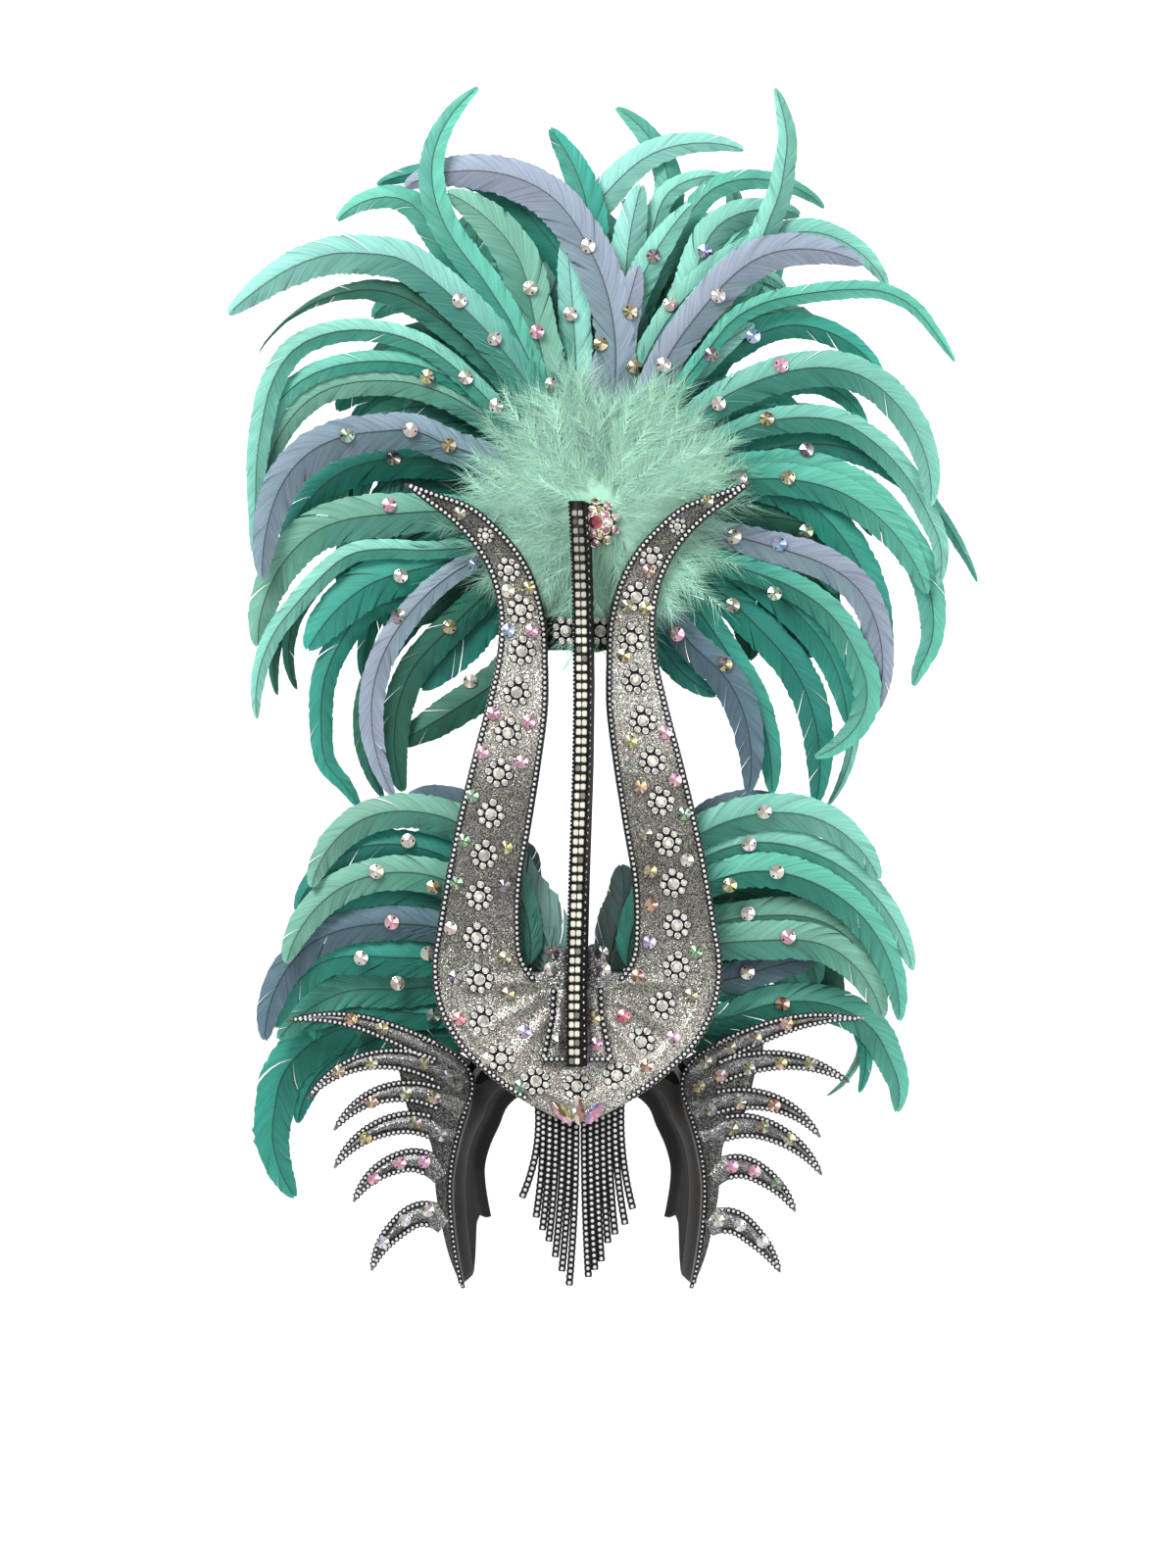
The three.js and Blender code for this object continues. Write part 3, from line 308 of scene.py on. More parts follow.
# Feathers: the quill passes shoulder and bend to the tip; back is the depth behind the foremost
Feather = namedtuple("Feather", "sx sz bx bz tx tz wide back tone")
UPPER_LEFT = [
    Feather(-80, 594, -104, 658, -70, 715, 21, 3, "mint"),
    Feather(11, 595, -20, 638, -124, 643, 32, 9, "lilac"),
    Feather(8, 567, 2, 648, -20, 686, 28, 27, "teal"),
    Feather(-94, 602, -129, 636, -172, 619, 25, 18, "mint"),
    Feather(-17, 602, -76, 651, -144, 645, 21, 22, "teal"),
    Feather(-29, 540, -45, 598, -94, 640, 32, 6, "grey"),
    Feather(-85, 561, -150, 598, -250, 552, 30, 0, "pale"),
    Feather(-80, 535, -146, 570, -228, 524, 20, 9, "dark"),
    Feather(-111, 531, -202, 528, -232, 382, 18, 14, "light"),
    Feather(-132, 519, -204, 500, -227, 410, 15, 18, "mint"),
    Feather(-132, 505, -188, 494, -222, 427, 22, 22, "grey"),
    Feather(-119, 470, -195, 451, -225, 362, 28, 7, "dusk"),
    Feather(-118, 450, -171, 438, -209, 385, 29, 26, "teal"),
    Feather(-118, 411, -192, 394, -228, 314, 32, 18, "grey"),
    Feather(-136, 385, -202, 344, -229, 263, 16, 10, "light"),
    Feather(-132, 396, -195, 357, -200, 284, 13, 30, "dark"),
    Feather(-132, 399, -206, 364, -214, 280, 13, 34, "dark"),
    Feather(-97, 375, -153, 357, -193, 312, 34, 14, "teal"),
    Feather(-143, 345, -182, 277, -155, 199, 20, 19, "teal"),
    Feather(-108, 352, -144, 294, -130, 207, 20, 8, "lilac"),
    Feather(-118, 333, -152, 277, -138, 207, 16, 26, "dark"),
    Feather(-83, 336, -122, 291, -124, 211, 24, 16, "dark"),
    Feather(-48, 299, -90, 269, -131, 245, 28, 23, "dark"),
    Feather(-1, 518, -4, 567, -8, 610, 25, 13, "pale"),
    Feather(-27, 497, -45, 546, -59, 588, 30, 12, "deep"),
    Feather(16, 497, 30, 540, 44, 588, 26, 12, "lilac"),
    Feather(16, 634, 57, 669, 120, 670, 25, 32, "pale"),
    Feather(55, 588, 63, 658, 27, 701, 25, 36, "mint"),
    Feather(36, 553, 55, 596, 82, 632, 23, 17, "light"),
    Feather(34, 546, 36, 598, 46, 646, 32, 23, "pale"),
]
UPPER_RIGHT = [
    Feather(50, 595, 69, 643, 109, 650, 20, 29, "light"),
    Feather(64, 595, 102, 645, 177, 628, 19, 26, "mint"),
    Feather(120, 594, 148, 651, 141, 715, 21, 7, "light"),
    Feather(116, 595, 172, 611, 222, 571, 22, 13, "light"),
    Feather(81, 546, 141, 597, 205, 588, 27, 2, "lilac"),
    Feather(106, 541, 190, 570, 270, 518, 14, 6, "mint"),
    Feather(71, 497, 96, 524, 127, 546, 20, 10, "pale"),
    Feather(106, 525, 155, 545, 218, 507, 22, 14, "teal"),
    Feather(109, 496, 202, 509, 252, 415, 26, 4, "light"),
    Feather(120, 490, 176, 502, 207, 471, 18, 18, "teal"),
    Feather(120, 471, 211, 462, 258, 359, 20, 9, "light"),
    Feather(183, 480, 246, 427, 286, 361, 12, 24, "mint"),
    Feather(127, 454, 196, 456, 250, 413, 20, 20, "deep"),
    Feather(116, 434, 197, 421, 250, 352, 25, 7, "mint"),
    Feather(204, 427, 249, 357, 240, 286, 25, 12, "mint"),
    Feather(148, 427, 206, 364, 208, 273, 28, 16, "teal"),
    Feather(120, 409, 169, 400, 204, 354, 22, 20, "dark"),
    Feather(127, 390, 204, 352, 210, 265, 24, 4, "lilac"),
    Feather(155, 357, 205, 291, 169, 236, 22, 0, "mint"),
    Feather(141, 353, 176, 317, 193, 259, 24, 10, "teal"),
    Feather(120, 338, 161, 288, 170, 201, 26, 15, "deep"),
    Feather(102, 319, 130, 270, 139, 209, 22, 12, "teal"),
    Feather(78, 321, 109, 289, 122, 210, 24, 6, "slate"),
    Feather(53, 329, 78, 294, 100, 280, 20, 19, "deep"),
    Feather(176, 322, 198, 259, 178, 200, 11, 24, "light"),
    Feather(78, 560, 106, 620, 160, 623, 28, 18, "light"),
    Feather(92, 553, 106, 598, 128, 620, 14, 22, "mint"),
]
LOWER_LEFT = [
    Feather(-55, 158, -85, 203, -122, 208, 23, 22, "slate"),
    Feather(-97, 194, -157, 190, -190, 142, 26, 0, "grey"),
    Feather(-104, 169, -157, 171, -201, 126, 23, 7, "deep"),
    Feather(-111, 153, -167, 144, -208, 88, 26, 3, "grey"),
    Feather(-97, 133, -139, 141, -192, 105, 23, 15, "teal"),
    Feather(-118, 117, -195, 99, -223, 33, 26, 11, "slate"),
    Feather(-125, 93, -185, 88, -216, 42, 28, 19, "teal"),
    Feather(-118, 71, -171, 67, -214, 34, 26, 34, "mint"),
    Feather(-111, 53, -150, 58, -197, 41, 23, 38, "teal"),
    Feather(-146, 52, -219, -12, -201, -79, 32, 42, "teal"),
    Feather(-139, 37, -185, 10, -200, -26, 21, 46, "deep"),
    Feather(-33, 112, -34, 143, -36, 176, 21, 26, "slate"),
]
LOWER_RIGHT = [
    Feather(71, 171, 102, 199, 148, 204, 23, 26, "slate"),
    Feather(106, 190, 179, 189, 216, 148, 28, 0, "light"),
    Feather(122, 175, 193, 155, 240, 83, 24, 7, "light"),
    Feather(130, 155, 204, 122, 230, 47, 26, 3, "mint"),
    Feather(122, 122, 183, 115, 218, 56, 26, 15, "grey"),
    Feather(127, 105, 183, 99, 218, 49, 28, 11, "grey"),
    Feather(141, 60, 207, 45, 228, -18, 27, 34, "mint"),
    Feather(148, 49, 197, 31, 201, -4, 15, 38, "teal"),
    Feather(141, 42, 191, 28, 178, -6, 7, 42, "grey"),
    Feather(106, 77, 141, 87, 176, 94, 23, 26, "slate"),
    Feather(31, 105, 31, 133, 32, 155, 19, 30, "slate"),
]
# Full runs of the feathers that are seen whole, by the place of the tip
RUNS = {
    (-214, 280): [(-111, 384), (-160, 381), (-192, 358), (-210, 334), (-217, 305)],
    (-200, 284): [(-111, 384), (-160, 380), (-190, 356), (-204, 330), (-206, 305)],
    (178, -6): [(120, 66), (165, 66), (195, 52), (203, 32), (195, 10)],
    (201, -4): [(120, 66), (165, 66), (196, 52), (206, 26)],
    (-70, 715): [(-68, 579), (-80, 594), (-94, 615), (-102, 637), (-104, 658), (-99, 679), (-87, 699)],
    (-250, 552): [(-41, 511), (-59, 534), (-85, 561), (-104, 578), (-125, 592), (-150, 596),
                  (-174, 596), (-202, 587), (-229, 570)],
    (-232, 382): [(-80, 508), (-111, 531), (-139, 540), (-174, 540), (-202, 528), (-218, 504),
                  (-225, 476), (-229, 448), (-230, 413)],
    (-225, 362): [(-62, 448), (-92, 459), (-119, 470), (-139, 469), (-164, 466), (-185, 458),
                  (-202, 444), (-213, 427), (-222, 399)],
    (-229, 263): [(-111, 384), (-136, 385), (-160, 382), (-188, 360), (-202, 344), (-216, 326),
                  (-228, 294)],
    (-155, 199): [(-132, 350), (-153, 340), (-167, 322), (-180, 294), (-183, 259), (-179, 231),
                  (-167, 217)],
    (141, 715): [(106, 581), (130, 602), (137, 620), (144, 637), (148, 658), (150, 679), (146, 700)],
    (270, 518): [(71, 497), (92, 525), (113, 550), (134, 561), (162, 567), (190, 570), (218, 569),
                 (239, 559), (256, 539)],
    (258, 359): [(78, 448), (106, 465), (136, 476), (162, 479), (190, 475), (211, 462), (232, 441),
                 (249, 413), (260, 385)],
    (240, 286): [(176, 441), (204, 427), (228, 402), (246, 374), (254, 343), (253, 318), (244, 298)],
    (169, 236): [(92, 378), (127, 368), (155, 357), (183, 336), (200, 308), (207, 287), (204, 266),
                 (190, 248)],
    (-201, -79): [(-160, 46), (-190, 32), (-211, 8), (-216, -14), (-218, -35), (-212, -60)],
    (228, -18): [(102, 49), (134, 59), (162, 62), (190, 56), (211, 42), (223, 21), (230, 0)],
}
# Feathers that end in a bare, thin tip
SLIM_TIPS = {(-228, 524)}
# Feathers seen through the open middle of the lyre
GAP_LEFT = Feather(-24, 110, -42, 140, -62, 192, 42, 6, "mist")
GAP_RIGHT = Feather(26, 104, 33, 132, 31, 160, 30, 6, "stone")
# Short feathers low on each fan, close to the lyre
LOW_LEFT = Feather(-72, 42, -94, 36, -120, 42, 28, 44, "deep")
LOW_RIGHT = Feather(72, 42, 90, 36, 112, 40, 28, 44, "deep")
INNER_LEFT = [
    Feather(-52, 352, -85, 318, -112, 284, 34, 24, "deep"),
    Feather(-60, 372, -92, 350, -120, 330, 24, 26, "dark"),
]

# Roots of the plumes: centre, where the quills start, the centre they lean from and the foremost depth
Hub = namedtuple("Hub", "x z start eye_x eye_z front")
HUB_LEFT = Hub(-5, 400, 18, 8, 400, -70.6)
HUB_RIGHT = Hub(34, 400, 7, 8, 400, -70.6)
HUB_LOW_LEFT = Hub(-34, 82, 3, -34, 82, -80)
HUB_LOW_RIGHT = Hub(34, 82, 3, 34, 82, -80)
HUB_GAP_LEFT = Hub(-16, 62, 3, -34, 82, -80)
HUB_GAP_RIGHT = Hub(18, 62, 3, 34, 82, -80)
LEAN_BACK = 0.8
LEAN_REACH = 300.0

# Vanes: places across them, pitch of the barbs, dyed root (longer on the lower vane as painted shade), cuts,
# how far clumps part, curl and ripple
VANE_COLUMNS = np.array([0, 0.2, 0.42, 0.64, 0.84, 1.0])
VANE_FROM = 0.06
BARB_PITCH = 2.2
# Reach of the deep root colour: dyed, and on the lower vane carried further as painted shade
DYE_AND_LIGHT_UPPER = (0.0, 0.25)
DYE_AND_SHADE_LOWER = (0.3, 0.6)
CUTS = (4, 11)
# Painted shade: a dark line at the start of each clump, where the vane is cut
PAINTED_CUT_SHADE = 0.5
PART_TYPICAL = 0.16
PART_MOST = 0.9
BARB_SWEEP = 1.5
VANE_ROLL = 0.45
VANE_CUP = (0.1, 0.4)
VANE_WAVE = (14, 30)
VANE_SWELL = (0.03, 0.09)
WISPS = 46
WISP_TO = 0.34
SHAFT_RADIUS = 0.55
ROOT_KEEP = {
    "lilac": 0.75, "dusk": 0.7, "slate": 0.85, "dark": 0.6, "grey": 0.45, "mist": 0.85, "stone": 0.9,
}

# Second layer of shorter feathers behind the first, and the rows that have none behind them
UNDER_PITCH = 3.6
UNDER_TURN = (2, 7)
UNDER_SHORT = (0.55, 0.72)
UNDER_LONG = (0.7, 0.84)
UNDER_TONES = ("teal", "deep", "mint", "dark", "teal")
UNDER_HIGH_TONES = ("mint", "pale", "light", "pale", "grey")
UNDER_WIDE = 1.1
UNDER_BACK = (38.0, 46.0)
OPEN_LOW_LEFT = (8, 9, 10, 11)
OPEN_LOW_RIGHT = (6, 7, 8, 9, 10)
OPEN_RIGHT = (3, 5, 18, 20, 21, 22, 24)
OPEN_LEFT = (4, 16, 17, 18, 19, 20, 21, 22, 23)

# Points of the vanes, kept while building to seat the stones on them
FEATHER_POINTS = []
SEAT_REACH = 4.5

# Places where the down parts round a stone or a flower, kept while building: x, y, z and clear radius
SPOTS = []
SPOT_STONE = 6.0
SPOT_FLOWER = 10.0

# Fluffy down round the brooch
DOWN_X = 18.0
DOWN_Z = 412.0
DOWN_HALF_X = 88.0
DOWN_HALF_Z = 92.0
DOWN_Y = -80.0
DOWN_TUFTS = 260
DOWN_THIN_X = 50.0
DOWN_THIN_Z = 402.0
DOWN_THIN = 0.6
DOWN_BARBS = 116
TUFT_LENGTH = (30, 58)

# Strands of the fringe: where they leave the lyre, and where they end
FRINGE_Y = -97.0
FRINGE_TOP = -19.0
FRINGE_RISE = 0.36
FRINGE_KNEE = -35.0
FRINGE_HALF = 33.0
Strand = namedtuple("Strand", "top end_x end_z")
STRANDS = [
    Strand(-28, -39, -75),
    Strand(-24, -29, -89),
    Strand(-19.5, -24.5, -98),
    Strand(-15, -20, -106),
    Strand(-10, -15.5, -117),
    Strand(-5.3, -10.8, -127),
    Strand(-0.7, -5.6, -137),
    Strand(5, 8, -131),
    Strand(9.4, 12.6, -126),
    Strand(13.8, 17.2, -120),
    Strand(18.2, 21.8, -107),
    Strand(22.6, 26.8, -101),
    Strand(27, 34, -94),
    Strand(31.4, 39.4, -83),
]

# Sew-on stones: pixel column and row, and tint
LYRE_STONES = [
    (470, 527, "olive"), (519, 605, "clear"), (540, 602, "yellow"), (519, 645, "blue"),
    (543, 645, "pink"), (504, 729, "pink"), (540, 737, "pink"), (493, 768, "pink"), (533, 778, "pink"),
    (483, 812, "green"), (474, 857, "green"), (517, 864, "yellow"), (467, 900, "green"),
    (515, 903, "smoke"), (461, 946, "clear"), (516, 976, "olive"), (466, 995, "smoke"),
    (519, 1012, "olive"), (470, 1037, "rose"), (536, 1050, "violet"), (499, 1078, "clear"),
    (532, 1104, "green"), (720, 515, "olive"), (661, 585, "orange"), (640, 620, "olive"),
    (658, 622, "yellow"), (636, 670, "yellow"), (643, 757, "yellow"), (678, 748, "pink"),
    (653, 803, "orange"), (688, 796, "pink"), (697, 830, "green"), (658, 850, "olive"),
    (700, 877, "clear"), (663, 888, "yellow"), (664, 922, "orange"), (662, 960, "violet"),
    (709, 970, "green"), (650, 994, "orange"), (704, 1013, "olive"), (636, 1034, "rose"),
    (686, 1055, "pink"), (659, 1083, "orange"),
]
FOOT_STONES = [(570, 1060, "smoke"), (606, 1036, "yellow"), (608, 1062, "pink")]
CREST_STONES = [(564, 970, "smoke"), (562, 987, "clear"), (614, 970, "smoke"), (616, 987, "clear")]
UPPER_STONES = [
    (469, 308, "clear"), (505, 347, "clear"), (541, 294, "clear"), (548, 339, "pink"),
    (563, 393, "clear"), (582, 319, "clear"), (600, 250, "clear"), (613, 350, "yellow"),
    (435, 382, "yellow"), (475, 384, "clear"), (506, 413, "clear"), (354, 444, "green"),
    (419, 439, "clear"), (458, 454, "yellow"), (400, 465, "smoke"), (396, 514, "pink"),
    (408, 587, "clear"), (485, 577, "blue"), (406, 628, "smoke"), (458, 639, "yellow"),
    (479, 694, "clear"), (643, 317, "yellow"), (684, 309, "clear"), (667, 258, "smoke"),
    (720, 253, "blue"), (733, 303, "white"), (677, 373, "clear"), (647, 373, "yellow"),
    (726, 362, "smoke"), (769, 342, "blue"), (797, 373, "pink"), (733, 412, "clear"),
    (783, 427, "yellow"), (824, 458, "smoke"), (755, 488, "white"), (804, 487, "yellow"),
    (824, 541, "green"), (749, 548, "clear"), (795, 555, "blue"), (790, 606, "green"),
    (748, 617, "smoke"), (691, 647, "pink"), (740, 678, "olive"),
]
LOWER_STONES = [
    (417, 858, "clear"), (385, 889, "clear"), (443, 905, "yellow"), (400, 941, "pink"),
    (368, 978, "clear"), (436, 973, "clear"), (405, 1004, "clear"), (441, 1038, "green"),
    (779, 828, "clear"), (764, 861, "clear"), (792, 889, "clear"), (744, 903, "yellow"),
    (763, 932, "clear"), (804, 956, "pink"), (763, 993, "clear"), (800, 1026, "orange"),
]
WING_STONES = [
    (358, 1040, "orange"), (390, 1050, "olive"), (345, 1094, "yellow"), (379, 1085, "olive"),
    (432, 1085, "olive"), (457, 1098, "smoke"), (379, 1125, "orange"), (414, 1115, "olive"),
    (443, 1120, "olive"), (373, 1162, "yellow"), (424, 1145, "olive"), (450, 1158, "smoke"),
    (381, 1203, "pink"), (408, 1187, "pink"), (433, 1185, "pink"), (391, 1268, "white"),
    (413, 1245, "white"), (437, 1235, "clear"), (803, 1045, "orange"), (771, 1060, "olive"),
    (745, 1069, "olive"), (720, 1083, "olive"), (827, 1086, "olive"), (797, 1085, "yellow"),
    (764, 1090, "olive"), (735, 1097, "orange"), (713, 1108, "olive"), (790, 1128, "orange"),
    (755, 1125, "olive"), (725, 1132, "smoke"), (806, 1163, "yellow"), (779, 1150, "olive"),
    (747, 1152, "olive"), (747, 1190, "pink"), (770, 1195, "pink"), (793, 1208, "green"),
    (755, 1250, "white"), (778, 1267, "white"), (733, 1245, "clear"),
]
# Marquise stones: upper and lower point, tints of their two halves
Marquise = namedtuple("Marquise", "x0 z0 x1 z1 one two")
MARQUISES = [
    Marquise(-17, -7, -4, -22, "pink", "yellow"),
    Marquise(1, -3, 1, -23, "clear", "orange"),
    Marquise(18, -7, 6, -22, "violet", "pink"),
]
MARQUISE_HALF = 4.2
MARQUISE_HIGH = 3.6

# Coats of the stones: other tints that flash in them, tones with darker facets and the share of white
FLASH_TONES = ("white", "yellow", "pink", "green", "violet", "clear")
DEEP_TONES = ("yellow", "olive", "green", "orange", "smoke")
PALE = 0.12
STONE_RADIUS = 4.7
WING_STONE = 4.5
FEATHER_STONE = 5.2

# Brooch: its place, the turn of its outer ring in shares of a stone, and the stones of a ring
BROOCH = (13.0, -88.5, 402.0)
BROOCH_SHIFT = 1.5 / math.pi
BROOCH_INNER = 8.6
BROOCH_OUTER = 14.5
BROOCH_TONES = ["clear", "pink", "yellow", "clear", "pink", "green", "clear", "pink", "yellow", "pink"]

# Flakes of the glitter: cells in a metre and slope
FLAKE_SCALE = 2000.0
FLAKE_TILT = 0.25

# Stage and lamps: a lamp's size in metres, power in watts and spread in degrees
FLOOR_Z = -1400.0
WALL_Y = 4300.0
WALL_TOP = 4000.0
BEND = 900.0
STAGE_HALF = 5000.0
WORLD_LIGHT = 0.48
MIDDLE = (0, -60, 260)
Lamp = namedtuple("Lamp", "name place target size power spread")
LAMPS = [
    Lamp("key", (-900, -1500, 1700), MIDDLE, (1.0, 1.0), 50, 180),
    Lamp("fill", (1500, -1600, 400), MIDDLE, (1.4, 1.4), 16, 180),
    Lamp("rim", (500, 1200, 1500), MIDDLE, (1.6, 0.8), 16, 180),
    Lamp("back", (-1300, 1700, 700), MIDDLE, (1.4, 1.4), 4, 180),
    Lamp("wall", (0, 2300, 2900), (0, WALL_Y, 200), (5.0, 0.6), 54, 100),
]

# Colour


def linear(name):
    """A tone as linear light, for shaders and tints."""
    c = np.array(TONES[name]) / 255
    return np.where(c <= 0.04045, c / 12.92, ((c + 0.055) / 1.055) ** 2.4)


# Lines


def unit(v):
    return v / np.maximum(np.linalg.norm(v, axis=-1, keepdims=True), 1e-9)


def smooth_line(points, per_span=12):
    """A line through a few points that turns as an arc does, as dense samples."""
    p = np.asarray(points, float)
    step = np.diff(p, axis=0)
    length = np.linalg.norm(step, axis=1, keepdims=True)
    head = step / length
    tangent = np.empty_like(p)
    tangent[1:-1] = unit(head[:-1] * length[1:] + head[1:] * length[:-1])
    tangent[0] = 2 * np.dot(tangent[1], head[0]) * head[0] - tangent[1]
    tangent[-1] = 2 * np.dot(tangent[-2], head[-1]) * head[-1] - tangent[-2]
    t = np.linspace(0, 1, per_span, endpoint=False)[:, None]
    spans = []
    for i in range(len(p) - 1):
        start = (1 + 2 * t) * (1 - t) ** 2 * p[i] + t * (1 - t) ** 2 * length[i] * tangent[i]
        end = t * t * (3 - 2 * t) * p[i + 1] + t * t * (t - 1) * length[i] * tangent[i + 1]
        spans.append(start + end)
    return np.concatenate([*spans, p[-1:]])


def run_of(line):
    """Length of a line up to each of its samples."""
    step = np.linalg.norm(np.diff(line, axis=0), axis=1)
    return np.concatenate([[0], np.cumsum(step)])


def columns_at(at, run, table):
    """Every column of a table, read at places along a run."""
    return np.stack([np.interp(at, run, table[:, k]) for k in range(table.shape[1])], -1)


def walk(line, shares):
    """Points and headings at shares of a line's length."""
    run = run_of(line)
    at = np.asarray(shares) * run[-1]
    return columns_at(at, run, line), unit(columns_at(at, run, np.gradient(line, axis=0)))


def eased(at, table, column, reach, count=5):
    """A column of a table against its first column, with the corners rounded off."""
    table = np.asarray(table, float)
    shifts = np.linspace(-reach, reach, count)
    return np.mean([np.interp(np.asarray(at) + k, table[:, 0], table[:, column]) for k in shifts], 0)


def ramp_up(value, start, over):
    """Rises from 0 at the start to 1."""
    return np.clip((value - start) / over, 0, 1)


def bell(value, wide):
    return np.exp(-((value / wide) ** 2))


def at_depth(line, y):
    """A line in X and Z, with its depth put between."""
    line = np.asarray(line, float)
    return np.column_stack([line[:, 0], np.broadcast_to(y, len(line)), line[:, 1]])


def at_pixel(px, py):
    return (px - PIXEL_X0) * PIXEL_MM, (PIXEL_Z0 - py) * PIXEL_MM


def circle(count, shift=0.0):
    """Points round a unit circle."""
    angle = (np.arange(count) + shift) / count * 2 * math.pi
    return np.stack([np.cos(angle), np.sin(angle)], 1)


# Meshes


class Heap:
    """One piece, gathered block by block, with tints, barb places, material numbers and smooth flags."""

    def __init__(self):
        self.points = []
        self.faces = []
        self.tints = []
        self.barbs = []
        self.numbers = []
        self.smooth = []
        self.count = 0

    def add(self, points, faces, tint=(1, 1, 1), number=0, smooth=True, barb=(0, 0, 0)):
        """Faces is one block of faces, or a tuple of blocks that differ in their count of corners."""
        points = np.asarray(points, float).reshape(-1, 3)
        for block in faces if isinstance(faces, tuple) else (faces,):
            self.faces.append(block + self.count)
            self.numbers.append(np.full(len(block), number))
            self.smooth.append(np.full(len(block), smooth))
        self.points.append(points)
        for store, values in ((self.tints, tint), (self.barbs, barb)):
            store.append(np.broadcast_to(np.asarray(values, float).reshape(-1, 3), points.shape))
        self.count += len(points)


def publish(name, heap, materials, nodes=()):
    """Makes the object of a heap, rides it on the frame and hides the nodes that it stands for."""
    mesh = bpy.data.meshes.new(name)
    faces = [face for block in heap.faces for face in block.tolist()]
    mesh.from_pydata((np.concatenate(heap.points) * MM).tolist(), [], faces)
    mesh.polygons.foreach_set("material_index", np.concatenate(heap.numbers).astype(np.int32))
    mesh.polygons.foreach_set("use_smooth", np.concatenate(heap.smooth).astype(bool))
    tint = np.concatenate(heap.tints)
    colour = mesh.attributes.new("tint", "FLOAT_COLOR", "POINT")
    colour.data.foreach_set("color", np.column_stack([tint, np.ones(len(tint))]).astype(np.float32).ravel())
    barb = mesh.attributes.new("barb", "FLOAT_VECTOR", "POINT")
    barb.data.foreach_set("vector", np.concatenate(heap.barbs).astype(np.float32).ravel())
    for material in materials:
        mesh.materials.append(material)
    mesh.update()
    piece = bpy.data.objects.new(name, mesh)
    bpy.context.scene.collection.objects.link(piece)
    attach(piece, "root")
    if nodes:
        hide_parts(*nodes)


def grid_faces(rows, columns, closed=False, flip=False):
    """Quads over rows of points; closed joins the last column to the first."""
    r, c = np.meshgrid(np.arange(rows - 1), np.arange(columns if closed else columns - 1), indexing="ij")
    d = (c + 1) % columns
    quad = np.stack([r * columns + c, r * columns + d, (r + 1) * columns + d, (r + 1) * columns + c], -1)
    quad = quad.reshape(-1, 4)
    return quad[:, ::-1] if flip else quad


def end_fans(heap, rings, flip=False, **look):
    """Faces over the first and the last ring."""
    m = len(rings[0])
    ring = np.arange(m)
    fan = np.stack([ring, (ring + 1) % m, np.full(m, m)], 1)
    for k, turned in ((0, not flip), (-1, flip)):
        heap.add(np.vstack([rings[k], rings[k].mean(0)]), fan[:, ::-1] if turned else fan, **look)


def loft(heap, rings, flip=False, **look):
    """Closed body over rings of the same count."""
    rings = np.asarray(rings, float)
    heap.add(rings, grid_faces(*rings.shape[:2], closed=True, flip=flip), **look)
    end_fans(heap, rings, flip, **look)


def axes_on(normal, spin=0.0):
    """Frames whose Z is the normal and whose Y is nearest to upright, turned by spin."""
    normal = unit(np.asarray(normal, float).reshape(-1, 3))
    right = unit(np.cross(np.broadcast_to((0, 0, 1), normal.shape), normal))
    high = np.cross(normal, right)
    c = np.cos(np.broadcast_to(spin, len(normal)))[:, None]
    s = np.sin(np.broadcast_to(spin, len(normal)))[:, None]
    return np.stack([c * right + s * high, c * high - s * right, normal], 1)


def forward(count):
    """Normals that all face the front."""
    return np.tile((0, -1.0, 0), (count, 1))


# Stones


def cut_stone(sides, table, girdle=0.25):
    """Facets of a unit stone that share no points. Returns points, faces and the facet of each point."""
    ring = circle(sides, 0.5)
    low, mid = (np.column_stack([ring, np.full(sides, h)]) for h in (0.0, girdle))
    top = np.column_stack([ring * table, np.ones(sides)])
    points, facets = [], []
    for i in range(sides):
        j = (i + 1) % sides
        points += [low[i], low[j], mid[j], mid[i], mid[i], mid[j], top[j], top[i]]
        facets += [i] * 8
    for i in range(sides):
        points += [top[i], top[(i + 1) % sides], np.array([0, 0, 1.0])]
        facets += [sides] * 3
    quads = np.arange(8 * sides).reshape(-1, 4)
    caps = 8 * sides + np.arange(3 * sides).reshape(-1, 3)
    return np.array(points), (quads, caps), np.array(facets)


SMALL_CUT = cut_stone(8, 0.5)
ROUND_CUT = cut_stone(12, 0.55, girdle=0.35)
RIVOLI_CUT = cut_stone(14, 0.16, girdle=0.4)


def set_stones(heap, cut, origins, frames, radius, height, tints, number):
    """Copies of a cut stone. Tints holds a colour for each facet of each copy."""
    points, faces, facets = cut
    origins = np.asarray(origins, float).reshape(-1, 3)
    size = np.empty((len(origins), 1, 3))
    size[..., :2] = np.broadcast_to(radius, len(origins))[:, None, None]
    size[..., 2] = np.broadcast_to(height, len(origins))[:, None]
    placed = np.einsum("nvk,nkj->nvj", points * size, frames) + origins[:, None]
    for copy, tint in zip(placed, np.asarray(tints, float)[:, facets]):
        heap.add(copy, faces, tint, number, smooth=False)


def shaded(tone, low, high, count, facets):
    """Facet colours of plain stones: one tone, lighter and darker."""
    return linear(tone) * rng.uniform(low, high, (count, facets + 1, 1))


def aurora_tints(names, facets, share=0.3):
    """Facet colours of coated stones: the stone's own tint, with flashes of other tints and of white."""
    flashes = np.array([linear(n) for n in FLASH_TONES])
    made = []
    for name in names:
        pick = flashes[rng.integers(0, len(flashes), facets + 1)]
        mix = rng.random((facets + 1, 1)) * (1 - share)
        tint = linear(name) * (1 - mix) + pick * mix
        tint = tint * (1 - PALE) + PALE * linear("white")
        tint *= rng.uniform(0.2 if name in DEEP_TONES else 0.55, 1.15, (facets + 1, 1))
        made.append(np.clip(tint, 0, 1))
    return np.array(made)


